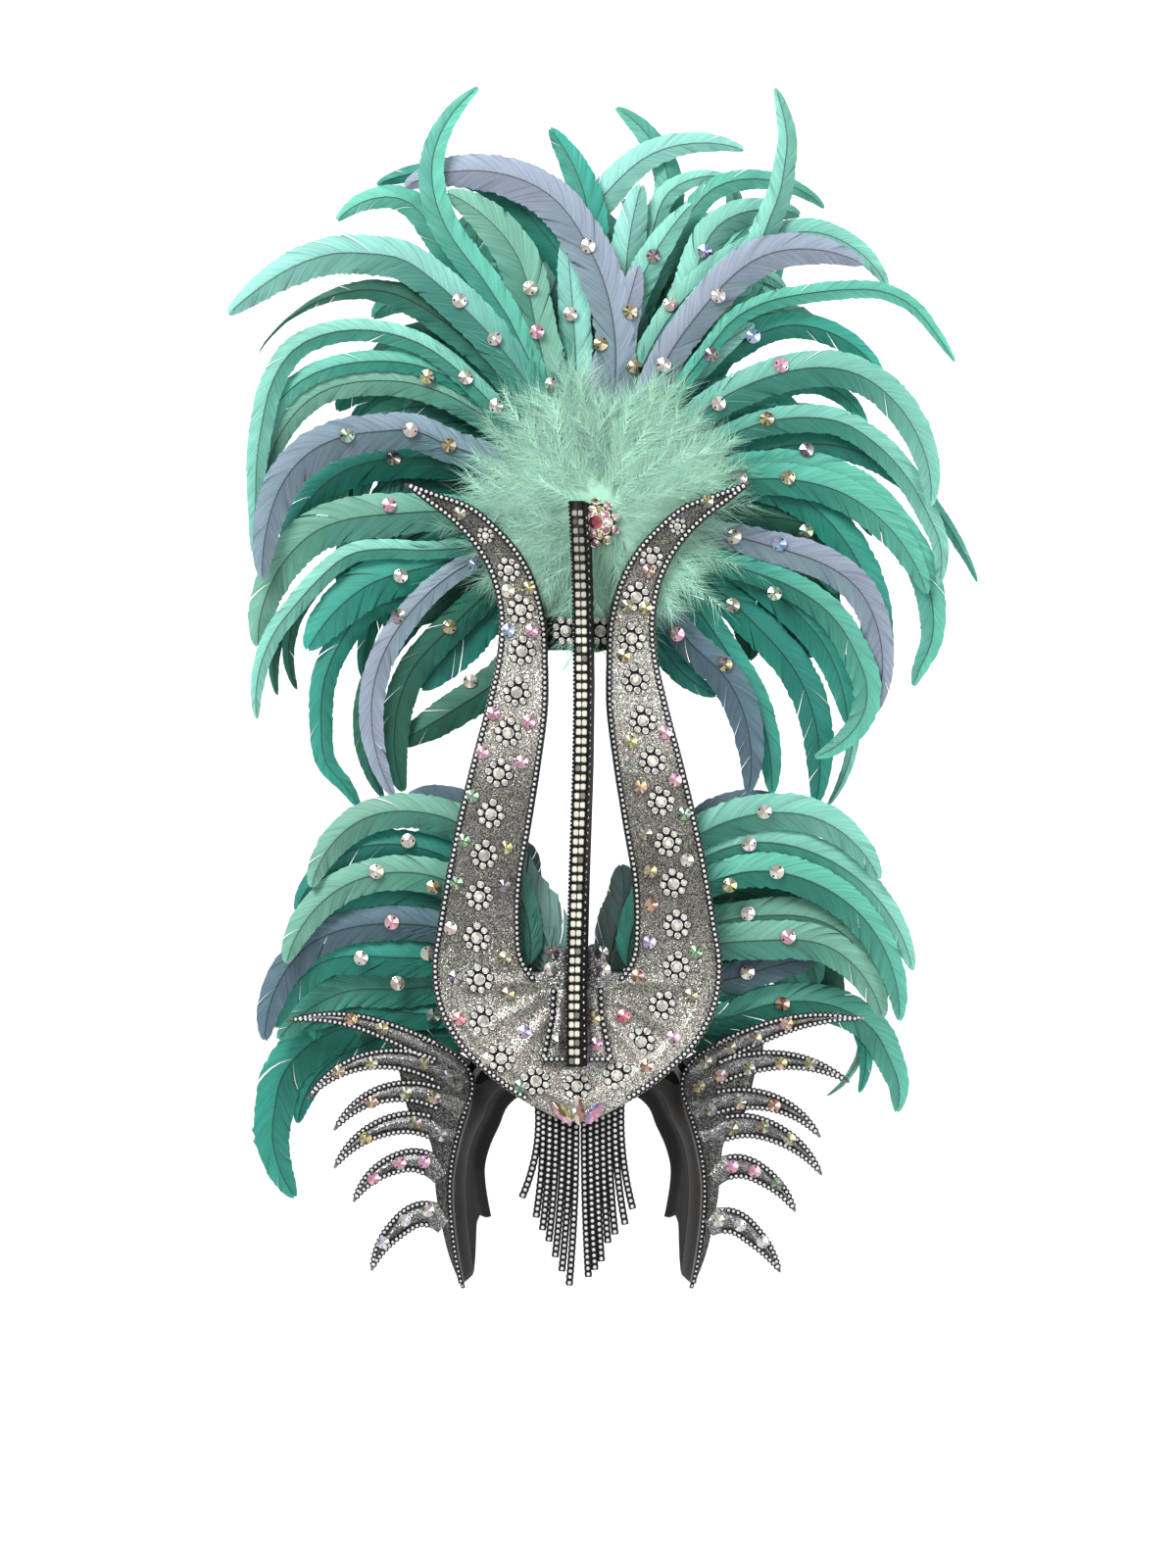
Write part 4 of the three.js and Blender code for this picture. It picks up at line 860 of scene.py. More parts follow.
def cups(heap, origins, frames, radius, height, number, tint=(1, 1, 1), sides=10):
    """Round metal cups with a lip, one for each stone."""
    ring = circle(sides)
    origins = np.asarray(origins, float).reshape(-1, 3)
    faces = grid_faces(len(CUP_SECTION), sides, closed=True)
    for origin, axes, r in zip(origins, frames, np.broadcast_to(radius, len(origins))):
        rows = [np.column_stack([ring * r * w, np.full(sides, height * h)]) for w, h in CUP_SECTION]
        heap.add(np.concatenate(rows) @ axes + origin, faces, tint, number)


def banding(heap, line, normals, band):
    """Black strip, material 0, with a white stone, material 1, on every swelling."""
    line = np.asarray(line, float)
    run = run_of(line)
    count = max(2, int(round(run[-1] / band.pitch)))
    share = np.linspace(0, 1, count * BAND_STEPS + 1)
    point, head = walk(line, share)
    normal = unit(columns_at(share, run / run[-1], np.broadcast_to(normals, line.shape)))
    side = unit(np.cross(head, normal))
    beat = np.cos(2 * math.pi * (share * count - 0.5))
    swell = band.half * (1 - band.dip + band.dip * beat)
    lift = band.thick * (1 - BAND_LOW + BAND_LOW * beat)
    rings = [
        [p + s * w * across + n * h * high for across, high in BAND_SECTION]
        for p, s, n, w, h in zip(point, side, normal, swell, lift)
    ]
    loft(heap, rings)
    at = (np.arange(count) + 0.5) / count
    facing = unit(columns_at(at, share, normal))
    seats = walk(line, at)[0] + facing * band.thick * 0.9
    frames = axes_on(facing, rng.uniform(0, math.pi, count))
    tints = shaded("white", 0.85, 1.0, count, 8)
    set_stones(heap, SMALL_CUT, seats, frames, band.stone, band.stone * 0.8, tints, 1)


# Shaders


def shader(name, **values):
    """A new material with its tree and its principled shader, whose sockets take the values."""
    material = bpy.data.materials.new(name)
    material.use_nodes = True
    tree = material.node_tree
    bsdf = tree.nodes["Principled BSDF"]
    for key, value in values.items():
        bsdf.inputs[key.replace("_", " ")].default_value = value
    return material, tree, bsdf


def texture(tree, kind, vector=None, **values):
    """Outputs of a texture over a vector, or else over the piece's own coordinates."""
    made = tree.nodes.new("ShaderNodeTex" + kind)
    for key, value in values.items():
        made.inputs[key].default_value = value
    if vector is None:
        vector = tree.nodes.new("ShaderNodeTexCoord").outputs["Object"]
    tree.links.new(vector, made.inputs["Vector"])
    return made.outputs


def multiplied(tree, one, two):
    """Product of two colour outputs."""
    made = tree.nodes.new("ShaderNodeMix")
    made.data_type = "RGBA"
    made.blend_type = "MULTIPLY"
    made.inputs[0].default_value = 1.0
    tree.links.new(one, made.inputs[6])
    tree.links.new(two, made.inputs[7])
    return made.outputs[2]


def vector_maths(tree, kind, *values):
    """Result of a vector operation on outputs and constants."""
    made = tree.nodes.new("ShaderNodeVectorMath")
    made.operation = kind
    for socket, value in zip(made.inputs, values):
        if isinstance(value, bpy.types.NodeSocket):
            tree.links.new(value, socket)
        else:
            socket.default_value = value
    return made.outputs[0]


def ramp(tree, source, *stops):
    """Colour ramp over an output. Stops hold a place and a colour."""
    made = tree.nodes.new("ShaderNodeValToRGB")
    elements = made.color_ramp.elements
    while len(elements) < len(stops):
        elements.new(0.5)
    for element, (place, colour) in zip(elements, stops):
        element.position = place
        element.color = (*colour, 1)
    tree.links.new(source, made.inputs[0])
    return made.outputs[0]


def bump(tree, source, strength, distance):
    made = tree.nodes.new("ShaderNodeBump")
    made.inputs["Strength"].default_value = strength
    made.inputs["Distance"].default_value = distance
    tree.links.new(source, made.inputs["Height"])
    return made.outputs["Normal"]


def attribute(tree, name, output):
    made = tree.nodes.new("ShaderNodeAttribute")
    made.attribute_name = name
    return made.outputs[output]


def feather_shader():
    """Dyed vanes: the feather's tint in fine streaks along its barbs."""
    material, tree, bsdf = shader("feather_vane", Roughness=0.52, Specular_IOR_Level=0.35, Sheen_Weight=0.12)
    along = vector_maths(tree, "MULTIPLY", attribute(tree, "barb", "Vector"), (0.5, 0.4, 7.0))
    fine = texture(tree, "Noise", along, Scale=1.0, Detail=5.0, Roughness=0.75)[0]
    streak = ramp(tree, fine, (0.3, (0.56, 0.6, 0.6)), (0.7, (1.2, 1.17, 1.17)))
    tree.links.new(multiplied(tree, attribute(tree, "tint", "Color"), streak), bsdf.inputs["Base Color"])
    tree.links.new(bump(tree, fine, 0.35, 0.0006), bsdf.inputs["Normal"])
    return material


def down_shader():
    material, tree, bsdf = shader("down_barbs", Roughness=0.8, Specular_IOR_Level=0.15, Sheen_Weight=0.3)
    cloud = texture(tree, "Noise", Scale=60.0, Detail=3.0)[0]
    patch = ramp(tree, cloud, (0.3, (0.88, 0.9, 0.9)), (0.7, (1.05, 1.04, 1.05)))
    tree.links.new(multiplied(tree, attribute(tree, "tint", "Color"), patch), bsdf.inputs["Base Color"])
    return material


def glitter_shader(name, dull, bright):
    """Foam sheet under silver flakes: each flake has its own slope and shade."""
    material, tree, bsdf = shader(name, Metallic=0.7, Roughness=0.32)
    flakes = texture(tree, "Voronoi", Scale=FLAKE_SCALE)["Color"]
    greys = ((0.18, 0.4 * dull), (0.4, dull), (0.66, 0.5 * (dull + bright)), (0.8, bright), (0.87, 1))
    shade = ramp(tree, flakes, *((place, (grey,) * 3) for place, grey in greys))
    cloud = texture(tree, "Noise", Scale=22.0, Detail=4.0)[0]
    worn = ramp(tree, cloud, (0.35, (0.72, 0.71, 0.69)), (0.65, (1, 1, 1)))
    sheet = multiplied(tree, worn, attribute(tree, "tint", "Color"))
    tree.links.new(multiplied(tree, shade, sheet), bsdf.inputs["Base Color"])
    tilt = vector_maths(tree, "MULTIPLY_ADD", flakes, (2 * FLAKE_TILT,) * 3, (-FLAKE_TILT,) * 3)
    facing = tree.nodes.new("ShaderNodeNewGeometry").outputs["Normal"]
    leaning = vector_maths(tree, "ADD", tilt, facing)
    tree.links.new(vector_maths(tree, "NORMALIZE", leaning), bsdf.inputs["Normal"])
    return material


def grained_shader(name, tone, roughness, grain, depth, shine):
    """Foam, plastic or felt: one colour with a mottle, under a fine grain."""
    material, tree, bsdf = shader(name, Roughness=roughness, Specular_IOR_Level=shine)
    fine = texture(tree, "Noise", Scale=grain, Detail=3.0)[0]
    broad = texture(tree, "Noise", Scale=30.0, Detail=3.0)[0]
    low = tuple(0.75 * c for c in tone)
    high = tuple(1.25 * c for c in tone)
    tree.links.new(ramp(tree, broad, (0.3, low), (0.7, high)), bsdf.inputs["Base Color"])
    tree.links.new(bump(tree, fine, 0.4, depth), bsdf.inputs["Normal"])
    return material


def stone_shader(name, metallic, roughness):
    """Foiled stones: each facet has its tint."""
    material, tree, bsdf = shader(name, Metallic=metallic, Roughness=roughness, Specular_IOR_Level=0.8)
    tree.links.new(attribute(tree, "tint", "Color"), bsdf.inputs["Base Color"])
    return material


FEATHER = feather_shader()
DOWN = down_shader()
GLITTER = glitter_shader("silver_glitter", 0.17, 0.95)
WING_GLITTER = glitter_shader("grey_glitter", 0.08, 0.55)
BANDING = grained_shader("black_banding", (0.006, 0.006, 0.006), 0.5, 900.0, 0.0001, 0.25)
FOAM_DARK = grained_shader("dark_foam", (0.006, 0.0055, 0.0055), 0.8, 1400.0, 0.0003, 0.15)
FIN_BLACK = grained_shader("fin_black", (0.01, 0.01, 0.01), 0.75, 900.0, 0.0001, 0.15)
FOAM_RIM = grained_shader("rim_foam", (0.026, 0.022, 0.02), 0.6, 1400.0, 0.0003, 0.3)
# Light grey: a painted highlight on the lit front edge of the hood's mouth
FOAM_EDGE_HIGHLIGHT = grained_shader("foam_edge_highlight", (0.2, 0.195, 0.19), 0.6, 1400.0, 0.0002, 0.3)
FELT = grained_shader("mint_felt", (0.2, 0.42, 0.31), 0.95, 1600.0, 0.0004, 0.1)
CRYSTAL = stone_shader("white_stone", 0.25, 0.12)
AURORA = stone_shader("coated_stone", 0.7, 0.1)
SILVER = stone_shader("silver_cup", 1.0, 0.28)

# Lyre


def lyre_y(z):
    """Front depth of the lyre, eased over the bends of its table, with the sheet's slow wave."""
    z = np.asarray(z, float)
    fade = ramp_up(z, WAVE_FROM, WAVE_FADE) * ramp_up(-z, -WAVE_TO, WAVE_FADE)
    wave = np.cos(2 * math.pi * (z - WAVE_AT) / WAVE_LENGTH)
    return eased(z, LYRE_DEPTH, 1, LYRE_EASE) - WAVE_HIGH * fade * wave


def lyre_normal(z):
    z = np.asarray(z, float)
    slope = (lyre_y(z + 2) - lyre_y(z - 2)) / 4
    return unit(np.stack([np.zeros_like(z), -np.ones_like(z), slope], -1))


def rib_edges(per_span=7):
    """Inner and outer edge of the whole lyre, from the left horn round to the right."""
    ribs = np.array([r[:4] for r in LYRE_RIBS], float)
    whole = np.concatenate([ribs * (-1, 1, -1, 1), ribs[-2::-1]])
    return smooth_line(whole[:, :2], per_span), smooth_line(whole[:, 2:], per_span)


INNER_EDGE, OUTER_EDGE = rib_edges()


def lyre_relief(x, z):
    """Pressed ridges of the lower bowl: a line inside the rim and rays from the foot."""
    x, z = np.asarray(x, float), np.asarray(z, float)
    gap = np.hypot(x[..., None] - OUTER_EDGE[:, 0], z[..., None] - OUTER_EDGE[:, 1]).min(-1)
    rim = RIM_HIGH * bell(gap - RIM_INSET, RIM_WIDE) * ramp_up(-z, -RIM_TOP, RIM_FADE)
    angle = np.degrees(np.arctan2(RAY_Z - z, np.abs(x)))
    reach = np.hypot(x, z - RAY_Z)
    shown = ramp_up(reach, RAY_FROM, 12) * ramp_up(-reach, -RAY_TO, 14) * ramp_up(gap, 5, 8)
    ray = sum(bell(np.radians(angle - a) * reach, RAY_WIDE) for a in RAY_ANGLES)
    return rim + RAY_HIGH * ray * shown


def lyre_front(x, z):
    return lyre_y(z) - lyre_relief(x, z)


def lyre_tone_and_painted_light(z):
    """The glitter's warm tone, with painted light and shade by height: darker and brown on the horns, bright
    across the arms and the bowl.
    """
    # Painted light and shade: a brightness for each height
    shade = np.interp(z, *np.array(LYRE_PAINTED_LIGHT, float).T)
    return shade[..., None] * np.array([1.0, 0.97, 0.88])


def build_lyre():
    """Glitter sheet with a rounded edge on a flat back."""
    share = np.concatenate([[0, 1, 1, 0.985, 0.955], np.linspace(0.93, 0.07, 33), [0.045, 0.015, 0]])
    sink = np.concatenate([[FOAM, FOAM, 1.8, 0.7, 0.15], np.zeros(33), [0.15, 0.7, 1.8]])
    place = INNER_EDGE[:, None] + (OUTER_EDGE - INNER_EDGE)[:, None] * share[None, :, None]
    x, z = place[..., 0], place[..., 1]
    y = lyre_y(z) + sink - np.where(sink == 0, lyre_relief(x, z), 0)
    rings = np.stack([x, y, z], -1)
    heap = Heap()
    heap.add(rings, grid_faces(*x.shape, closed=True, flip=True), lyre_tone_and_painted_light(z))
    end_fans(heap, rings, True)
    publish("lyre_sheet", heap, [GLITTER], ["lyre"])


def build_lyre_trim(side, name):
    """Banding up the inner edge to the horn's tip, and down the outer edge."""
    ribs = np.array([r[:4] for r in LYRE_RIBS], float) * (side, 1, side, 1)
    across = ribs[:, 2:] - ribs[:, :2]
    step = unit(across) * np.minimum(EDGE_BAND.half, 0.35 * np.linalg.norm(across, axis=1, keepdims=True))
    up = (ribs[:, :2] + step)[15:0:-1]
    down = (ribs[:, 2:] - step)[1:19]
    tip = [(side * HORN_TIP[0], HORN_TIP[1])]
    heap = Heap()
    for points in ([*up, *tip], [*tip, *down]):
        line = smooth_line(points, 8)
        z = line[:, 1]
        banding(heap, at_depth(line, lyre_y(z) - 0.1), lyre_normal(z), EDGE_BAND)
    publish(name, heap, [BANDING, CRYSTAL], [name])


# Flowers of small stones


def flower(heap, seat, normal, turn, scale=1.0):
    """A middle stone, small ones round it and a drop towards the next flower.

    Materials: 0 silver, 1 stones, 2 black, for a disc and rings that paint the shade round and between the
    stones.
    """
    axes = axes_on(normal, turn)[0]
    angles = math.pi / 2 + PETAL_GAP + np.arange(PETALS) / (PETALS - 1) * 2 * (math.pi - PETAL_GAP)
    petals = [(PETAL_RING * math.cos(a), PETAL_RING * math.sin(a)) for a in angles]
    places = np.array([(0.0, 0.0), *petals, (0.0, DROP_AT)])
    radii = np.array([MIDDLE_RADIUS, *[PETAL_RADIUS] * PETALS, DROP_RADIUS]) * scale
    origins = np.column_stack([places * scale, np.full(len(places), 0.2)]) @ axes + seat
    frames = np.repeat(axes[None], len(places), 0)
    # Black disc behind the stones: painted shade between them
    ring = circle(4 * PETALS)
    wave = SHADE_DISC_WAVE * np.cos(PETALS * np.arctan2(ring[:, 1], ring[:, 0]))
    rim = ring * ((SHADE_DISC_RADIUS + wave) * scale)[:, None]
    section = ((1.0, 0.0), (1.0, 0.6), (0.9, 0.8))
    rings = [np.column_stack([k * rim, np.full(len(ring), h)]) @ axes + seat for k, h in section]
    loft(heap, rings, number=2)
    # Black rings round the cups: painted shadow outlines round the stones
    cups(heap, origins, frames, radii * 1.2, 1.5 * scale, 2)
    cups(heap, origins, frames, radii, 1.9 * scale, 0, linear("white"))
    tints = shaded("warm", 0.35, 1.0, len(places), 12)
    set_stones(heap, ROUND_CUT, origins + np.asarray(normal) * 0.7, frames, radii, radii * 0.55, tints, 1)


def on_lyre(x, z):
    """Where a flower or a link rests on the lyre."""
    return np.array([x, lyre_front(x, z) - 0.2, z])


def build_flowers(side, name):
    """A chain of flowers with three small links between each two."""
    shares = [(r.left if side < 0 else r.right) for r in LYRE_RIBS]
    ribs = zip(LYRE_RIBS[:0:-1], shares[:0:-1])
    points = [(side * (r.ix + (r.ox - r.ix) * k), r.iz + (r.oz - r.iz) * k) for r, k in ribs]
    line = smooth_line(points, 10)
    pitch = FLOWER_PITCH / run_of(line)[-1]
    heap = Heap()
    for i in range(1, FLOWERS + 1):
        point, head = walk(line, [i * pitch])
        turn = math.atan2(-head[0, 0], head[0, 1])
        flower(heap, on_lyre(*point[0]), lyre_normal(point[0, 1]), turn, SMALL_FLOWERS.get(i, 1.0))
        for k in LINKS:
            at = walk(line, [(i + k) * pitch])[0][0]
            cups(heap, on_lyre(*at), axes_on(lyre_normal(at[1])), 1.0, 1.2, 0, linear("clear"), sides=8)
    publish(name, heap, [SILVER, CRYSTAL, BANDING], [name])


def build_middle_flower():
    heap = Heap()
    flower(heap, on_lyre(0.0, MIDDLE_FLOWER_Z), lyre_normal(MIDDLE_FLOWER_Z), math.pi)
    publish("flower_mid", heap, [SILVER, CRYSTAL, BANDING], ["flower_mid"])


# Coated sew-on stones


def sewn_stones(name, stones, seats, normals, radius=STONE_RADIUS, nodes=()):
    """Flat-backed stones with a hole at two edges. Materials: 0 stones, 1 black holes."""
    heap = Heap()
    count = len(stones)
    frames = axes_on(normals, rng.uniform(0, math.pi, count))
    tints = aurora_tints([tone for _, _, tone in stones], 14)
    set_stones(heap, RIVOLI_CUT, seats, frames, radius, radius * 0.5, tints, 0)
    dark = np.full((count, 9, 3), 0.01)
    for side in (-1, 1):
        holes = np.asarray(seats) + frames[:, 0] * side * radius * 0.74 + frames[:, 2] * radius * 0.3
        set_stones(heap, SMALL_CUT, holes, frames, radius * 0.17, 0.3, dark, 1)
    publish(name, heap, [AURORA, BANDING], nodes)


def places_of(stones):
    """X and Z of stones that are listed by pixel."""
    return np.array([at_pixel(px, py) for px, py, _ in stones])


def build_lyre_stones():
    places = places_of(LYRE_STONES)
    depth = np.array([lyre_front(x, z) for x, z in places]) - 0.8
    nodes = [f"lyre_stone_{i}" for i in range(1, 21)]
    sewn_stones("lyre_stones", LYRE_STONES, at_depth(places, depth), lyre_normal(places[:, 1]), nodes=nodes)


def build_crest_stones():
    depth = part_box("crest_base")[0].y / MM - 0.3
    nodes = [f"crest_stone_{i}" for i in range(1, 5)]
    seats = at_depth(places_of(CREST_STONES), depth)
    sewn_stones("crest_stones", CREST_STONES, seats, forward(len(seats)), nodes=nodes)


def build_marquises():
    cut, faces, facets = cut_stone(16, 0.42, girdle=0.3)
    slim = np.abs(np.sin(np.arctan2(cut[:, 1], cut[:, 0]))) ** 0.45
    for m, name in zip(MARQUISES, ("marquise_left", "marquise_mid", "marquise_right")):
        x, z = (m.x0 + m.x1) / 2, (m.z0 + m.z1) / 2
        half = math.hypot(m.x1 - m.x0, m.z1 - m.z0) / 2
        turn = math.atan2(m.z0 - m.z1, m.x0 - m.x1)
        points = np.column_stack([cut[:, 0] * half, cut[:, 1] * MARQUISE_HALF * slim, cut[:, 2]])
        tints = np.concatenate([aurora_tints([m.one], 7, 0.75)[0], aurora_tints([m.two], 8, 0.75)[0]])
        heap = Heap()
        seat = (x, lyre_y(z) - 0.4, z)
        axes = axes_on(lyre_normal(z), turn)
        set_stones(heap, (points, faces, facets), seat, axes, 1.0, MARQUISE_HIGH, tints[None], 0)
        publish(name, heap, [AURORA], [name])


# Hood


def hood_arch(flare, spread, lift, legs):
    """Inner face of the hood in X and Z at one depth, from the left cheek over the crown."""
    half = []
    for p in HOOD_ARCH:
        z = p.bz + (p.mz - p.bz) * flare
        cheek = CHEEK_FROM + (z - CHEEK_FROM) * legs if z < CHEEK_FROM else z
        half.append(((p.bx + (p.mx - p.bx) * flare) * spread, cheek + lift))
    half = np.array(half)
    return smooth_line(np.concatenate([half[:0:-1] * (-1, 1), half]), 6)


def lefts(head):
    """Directions in X and Z turned to their left."""
    return np.stack([-head[..., 1], head[..., 0]], -1)


def grown(points, by):
    """A line in X and Z moved to its left by a distance."""
    return points + lefts(unit(np.gradient(points, axis=0))) * by


def tube(heap, line, y, radius, number, sides=6):
    """A thin round edge along a line in X and Z."""
    left = lefts(unit(np.gradient(line, axis=0)))
    rings = [at_depth(line + left * radius * c, y + radius * s) for c, s in circle(sides)]
    loft(heap, np.stack(rings, 1), number=number)


def build_cap():
    """Materials: 0 inside of the hood, 1 its mouth's front edge, painted light grey as a highlight, 2 the
    rim and the back.
    """
    depths = np.concatenate([np.linspace(MOUTH_Y, HOOD_RIM_Y, 12), np.linspace(-30, HOOD_ROWS[-1].y, 22)])
    rings = []
    for y in depths:
        inner = hood_arch(*(eased(y, HOOD_ROWS, column, HOOD_EASE, 3) for column in range(1, 5)))
        rings.append(at_depth(np.concatenate([inner, grown(inner, HOOD_WALL)[::-1]]), y))
    heap = Heap()
    rings = np.array(rings)
    count = rings.shape[1] // 2
    split = int(np.sum(depths < HOOD_RIM_Y))
    for part, look in ((rings[:split], 2), (rings[split - 1:], 0)):
        heap.add(part, grid_faces(len(part), 2 * count, closed=True, flip=True), number=look)
    for ring, flip, look in ((rings[0], True, 1), (rings[-1], False, 2)):
        heap.add(np.stack([ring[:count], ring[:count - 1:-1]]), grid_faces(2, count, flip=flip), number=look)
    # Front edge of the mouth in light grey, a painted highlight
    tube(heap, grown(hood_arch(1, 1, 0, 1), -0.2), MOUTH_Y - 0.3, 0.8, 1)
    for side in (-1, 1):
        tab = np.array(HOOD_TAB)[::side] * (side, 1)
        loft(heap, [at_depth(tab, y) for y in TAB_Y])
    publish("cap_shell", heap, [FOAM_DARK, FOAM_EDGE_HIGHLIGHT, FOAM_RIM], ["cap"])


# Wings


def wing_back(x):
    """Back depth of a wing, which sweeps away past its root."""
    return MOUTH_Y - 0.3 + WING_SWEEP * np.maximum(0, (np.abs(x) - WING_ROOT) / WING_REACH) ** 1.5


def claw_edge(claw, t, side, inset=0.0):
    """One edge of a claw in X and Z at shares of its length."""
    point, head = walk(smooth_line(np.array(claw[:8], float).reshape(4, 2)), t)
    half = claw.wide / 2 * np.minimum(1, 1.25 - 0.25 * t) * (1 - t ** 2.2) + CLAW_TIP
    return point + lefts(head) * side * np.maximum(half - inset, 0)[:, None]


def wing_rings(low, high, mirror, thick, rib):
    """Sections from one edge to the other with a pressed rib along the middle."""
    v = np.linspace(-1, 1, 13)
    ridge = (thick - rib) * (1 - 0.35 * np.abs(v) ** 2.5) + rib * bell(v, 0.3)
    place = low[:, None] + (high - low)[:, None] * ((v + 1) / 2)[None, :, None]
    back = wing_back(((low + high) / 2)[:, 0])
    front = np.stack([place[..., 0] * mirror, back[:, None] - ridge[None], place[..., 1]], -1)
    ends = np.stack([at_depth(edge * (mirror, 1), back) for edge in (high, low)], 1)
    return np.concatenate([front, ends], 1)


def build_wing(mirror, name):
    """Claws on a thinner web."""
    heap = Heap()
    rows = np.array(WING_ROWS, float)
    low, high = (smooth_line(rows[:, [column, 0]], 5) for column in (1, 2))
    web = wing_rings(low, high, mirror, WEB_THICK, 0.9)
    loft(heap, web, flip=mirror < 0, tint=(0.42, 0.415, 0.4))
    t = np.linspace(0, 1, 30)
    sink = WEB_SINK * np.clip(1 - t / 0.4, 0, 1) ** 2
    for claw in CLAWS[mirror]:
        rings = wing_rings(claw_edge(claw, t, -1), claw_edge(claw, t, 1), mirror, WING_THICK, 1.7)
        rings[:, :, 1] += sink[:, None]
        loft(heap, rings, flip=mirror > 0)
    publish(name, heap, [WING_GLITTER], [name])


def build_wing_trim(mirror, name):
    """Banding along both edges of each claw and down the wing's inner edge."""
    heap = Heap()
    for claw in CLAWS[mirror]:
        for side, start in ((1, 0.2), (-1, 0.16)):
            line = claw_edge(claw, np.linspace(start, 0.96, 26), side, 1.6)
            depth = wing_back(line[:, 0]) - WING_THICK + 1.4
            banding(heap, at_depth(line * (mirror, 1), depth), (0, -1, 0), CLAW_BAND)
    root = smooth_line([(r.inner + 1.6, r.z) for r in WING_ROWS], 6)
    depth = wing_back(root[:, 0]) - WING_THICK + 1.6
    banding(heap, at_depth(root * (mirror, 1), depth), (0, -1, 0), ROOT_BAND)
    publish(name, heap, [BANDING, CRYSTAL], [name])


def build_wing_stones():
    places = places_of(WING_STONES)
    seats = at_depth(places, wing_back(places[:, 0]) - WING_THICK - 0.4)
    sewn_stones("wing_stones", WING_STONES, seats, forward(len(seats)), WING_STONE)


# Fin


def spine_at(z, column):
    """A column of the fin's sections at some heights."""
    return eased(z, SPINE_ROWS, column, SPINE_EASE)


def on_spine(height, shift, rise):
    """Places on the fin's front, beside its middle."""
    return np.column_stack([spine_at(height, 1) + shift, spine_at(height, 2) - rise, height])


def build_spine_band():
    """Pairs of oblong stones between two rows of black beads, on a black strip."""
    heap = Heap()
    z = np.linspace(SPINE_FROM, SPINE_TO, 90)
    corners = ((-STRIP_HALF, 0.3), (-STRIP_HALF, 1.4), (STRIP_HALF, 1.4), (STRIP_HALF, 0.3))
    loft(heap, np.stack([on_spine(z, shift, rise) for shift, rise in corners], 1))
    height = np.arange(SPINE_FROM + 3, SPINE_TO - 3, SPINE_STEP)
    count = len(height)
    points, faces, facets = cut_stone(8, 0.55, girdle=0.3)
    square = np.sign(points[:, :2]) * np.abs(points[:, :2]) ** 0.5
    oblong = (np.column_stack([square * (1, 1.2), points[:, 2]]), faces, facets)
    for shift in (-SPINE_SHIFT, SPINE_SHIFT):
        dim = np.interp(height, [320, 375], [1, 0.45])[:, None, None]
        dim = dim * np.where(rng.random((count, 1, 1)) < 0.1, 0.3, 1.0)
        tints = dim * shaded("warm", 0.8, 1.0, count, 8)
        seats = on_spine(height, shift, 1.4)
        set_stones(heap, oblong, seats, axes_on(forward(count)), SPINE_STONE, 1.2, tints, 1)
    bead = np.arange(SPINE_FROM, SPINE_TO, BEAD_STEP)
    for shift in (-BEAD_SHIFT, BEAD_SHIFT):
        frames = axes_on(forward(len(bead)), rng.uniform(0, 3, len(bead)))
        tints = np.ones((len(bead), 9, 3))
        set_stones(heap, SMALL_CUT, on_spine(bead, shift, 1.0), frames, BEAD_RADIUS, 1.5, tints, 0)
    publish("spine_stones", heap, [BANDING, CRYSTAL], ["spine_band"])


def build_spine_side():
    """Small stones along both flanks of the fin, near its front edge."""
    heap = Heap()
    height = np.arange(26, 408, 5.4)
    middle, front, back = (spine_at(height, column) for column in (1, 2, 3))
    depth = back - front
    for side, far in ((-1, 4.0), (1, 9.0)):
        x = middle + side * (SPINE_HALF + (far - SPINE_HALF) * SIDE_INSET / depth)
        normal = unit(at_depth(np.column_stack([depth * side, np.zeros_like(depth)]), SPINE_HALF - far))
        seats = np.column_stack([x, front + SIDE_INSET, height]) + normal * 0.1
        tints = shaded("white", 0.6, 1.0, len(height), 8)
        set_stones(heap, SMALL_CUT, seats, axes_on(normal), 1.2, 0.9, tints, 0)
    publish("spine_side_stones", heap, [CRYSTAL])


def foot_y(z):
    return lyre_y(z) - FOOT_THICK


def build_foot():
    """Plate under the fin, with a soft swelling on each half."""
    heap = Heap()
    v = np.linspace(1, -1, 25)
    rings = []
    for h in np.linspace(FOOT_BOTTOM, FOOT_TOP, 16):
        half = np.interp(h, [FOOT_BOTTOM, FOOT_TOP], [FOOT_HALF_BOTTOM, FOOT_HALF_TOP])
        rise = math.sin(math.pi * (h - FOOT_BOTTOM) / (FOOT_TOP - FOOT_BOTTOM)) ** 0.5
        swell = FOOT_SWELL * rise * bell(np.abs(v) - 0.6, 0.22)
        front = np.column_stack([v * half, foot_y(h) + 1.0 - swell, np.full(len(v), h)])
        back = np.array([(-half, lyre_y(h) + 0.1, h), (half, lyre_y(h) + 0.1, h)])
        rings.append(np.concatenate([front, back]))
    loft(heap, rings, tint=(0.9, 0.88, 0.84))
    publish("foot_plate", heap, [GLITTER], ["spine_foot"])


def build_crest():
    """Dark lobes at the fin's root, one each side: a glitter sheet on a block of plain foam."""
    heap = Heap()
    low, high = (np.array(c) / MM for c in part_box("crest_base"))
    x = np.linspace(-CREST_HALF, CREST_HALF, 61)
    lobe = np.exp(-(((np.abs(x) - LOBE_X) / LOBE_HALF) ** 4))
    top = CREST_TOP + (high[2] - CREST_TOP - 3) * lobe
    seam = low[1] + FOAM
    foot = low[2]
    for front, back, look in ((low[1], seam, 0), (seam + 0.3, high[1], 1)):
        rings = [
            [(a, back, foot), (a, front + 1, foot), (a, front, foot + 1),
             (a, front, t - 2), (a, front + 1.5, t), (a, back, t)]
            for a, t in zip(x, top)
        ]
        loft(heap, rings, number=look)
    publish("crest_lobes", heap, [WING_GLITTER, FOAM_DARK], ["crest_base"])


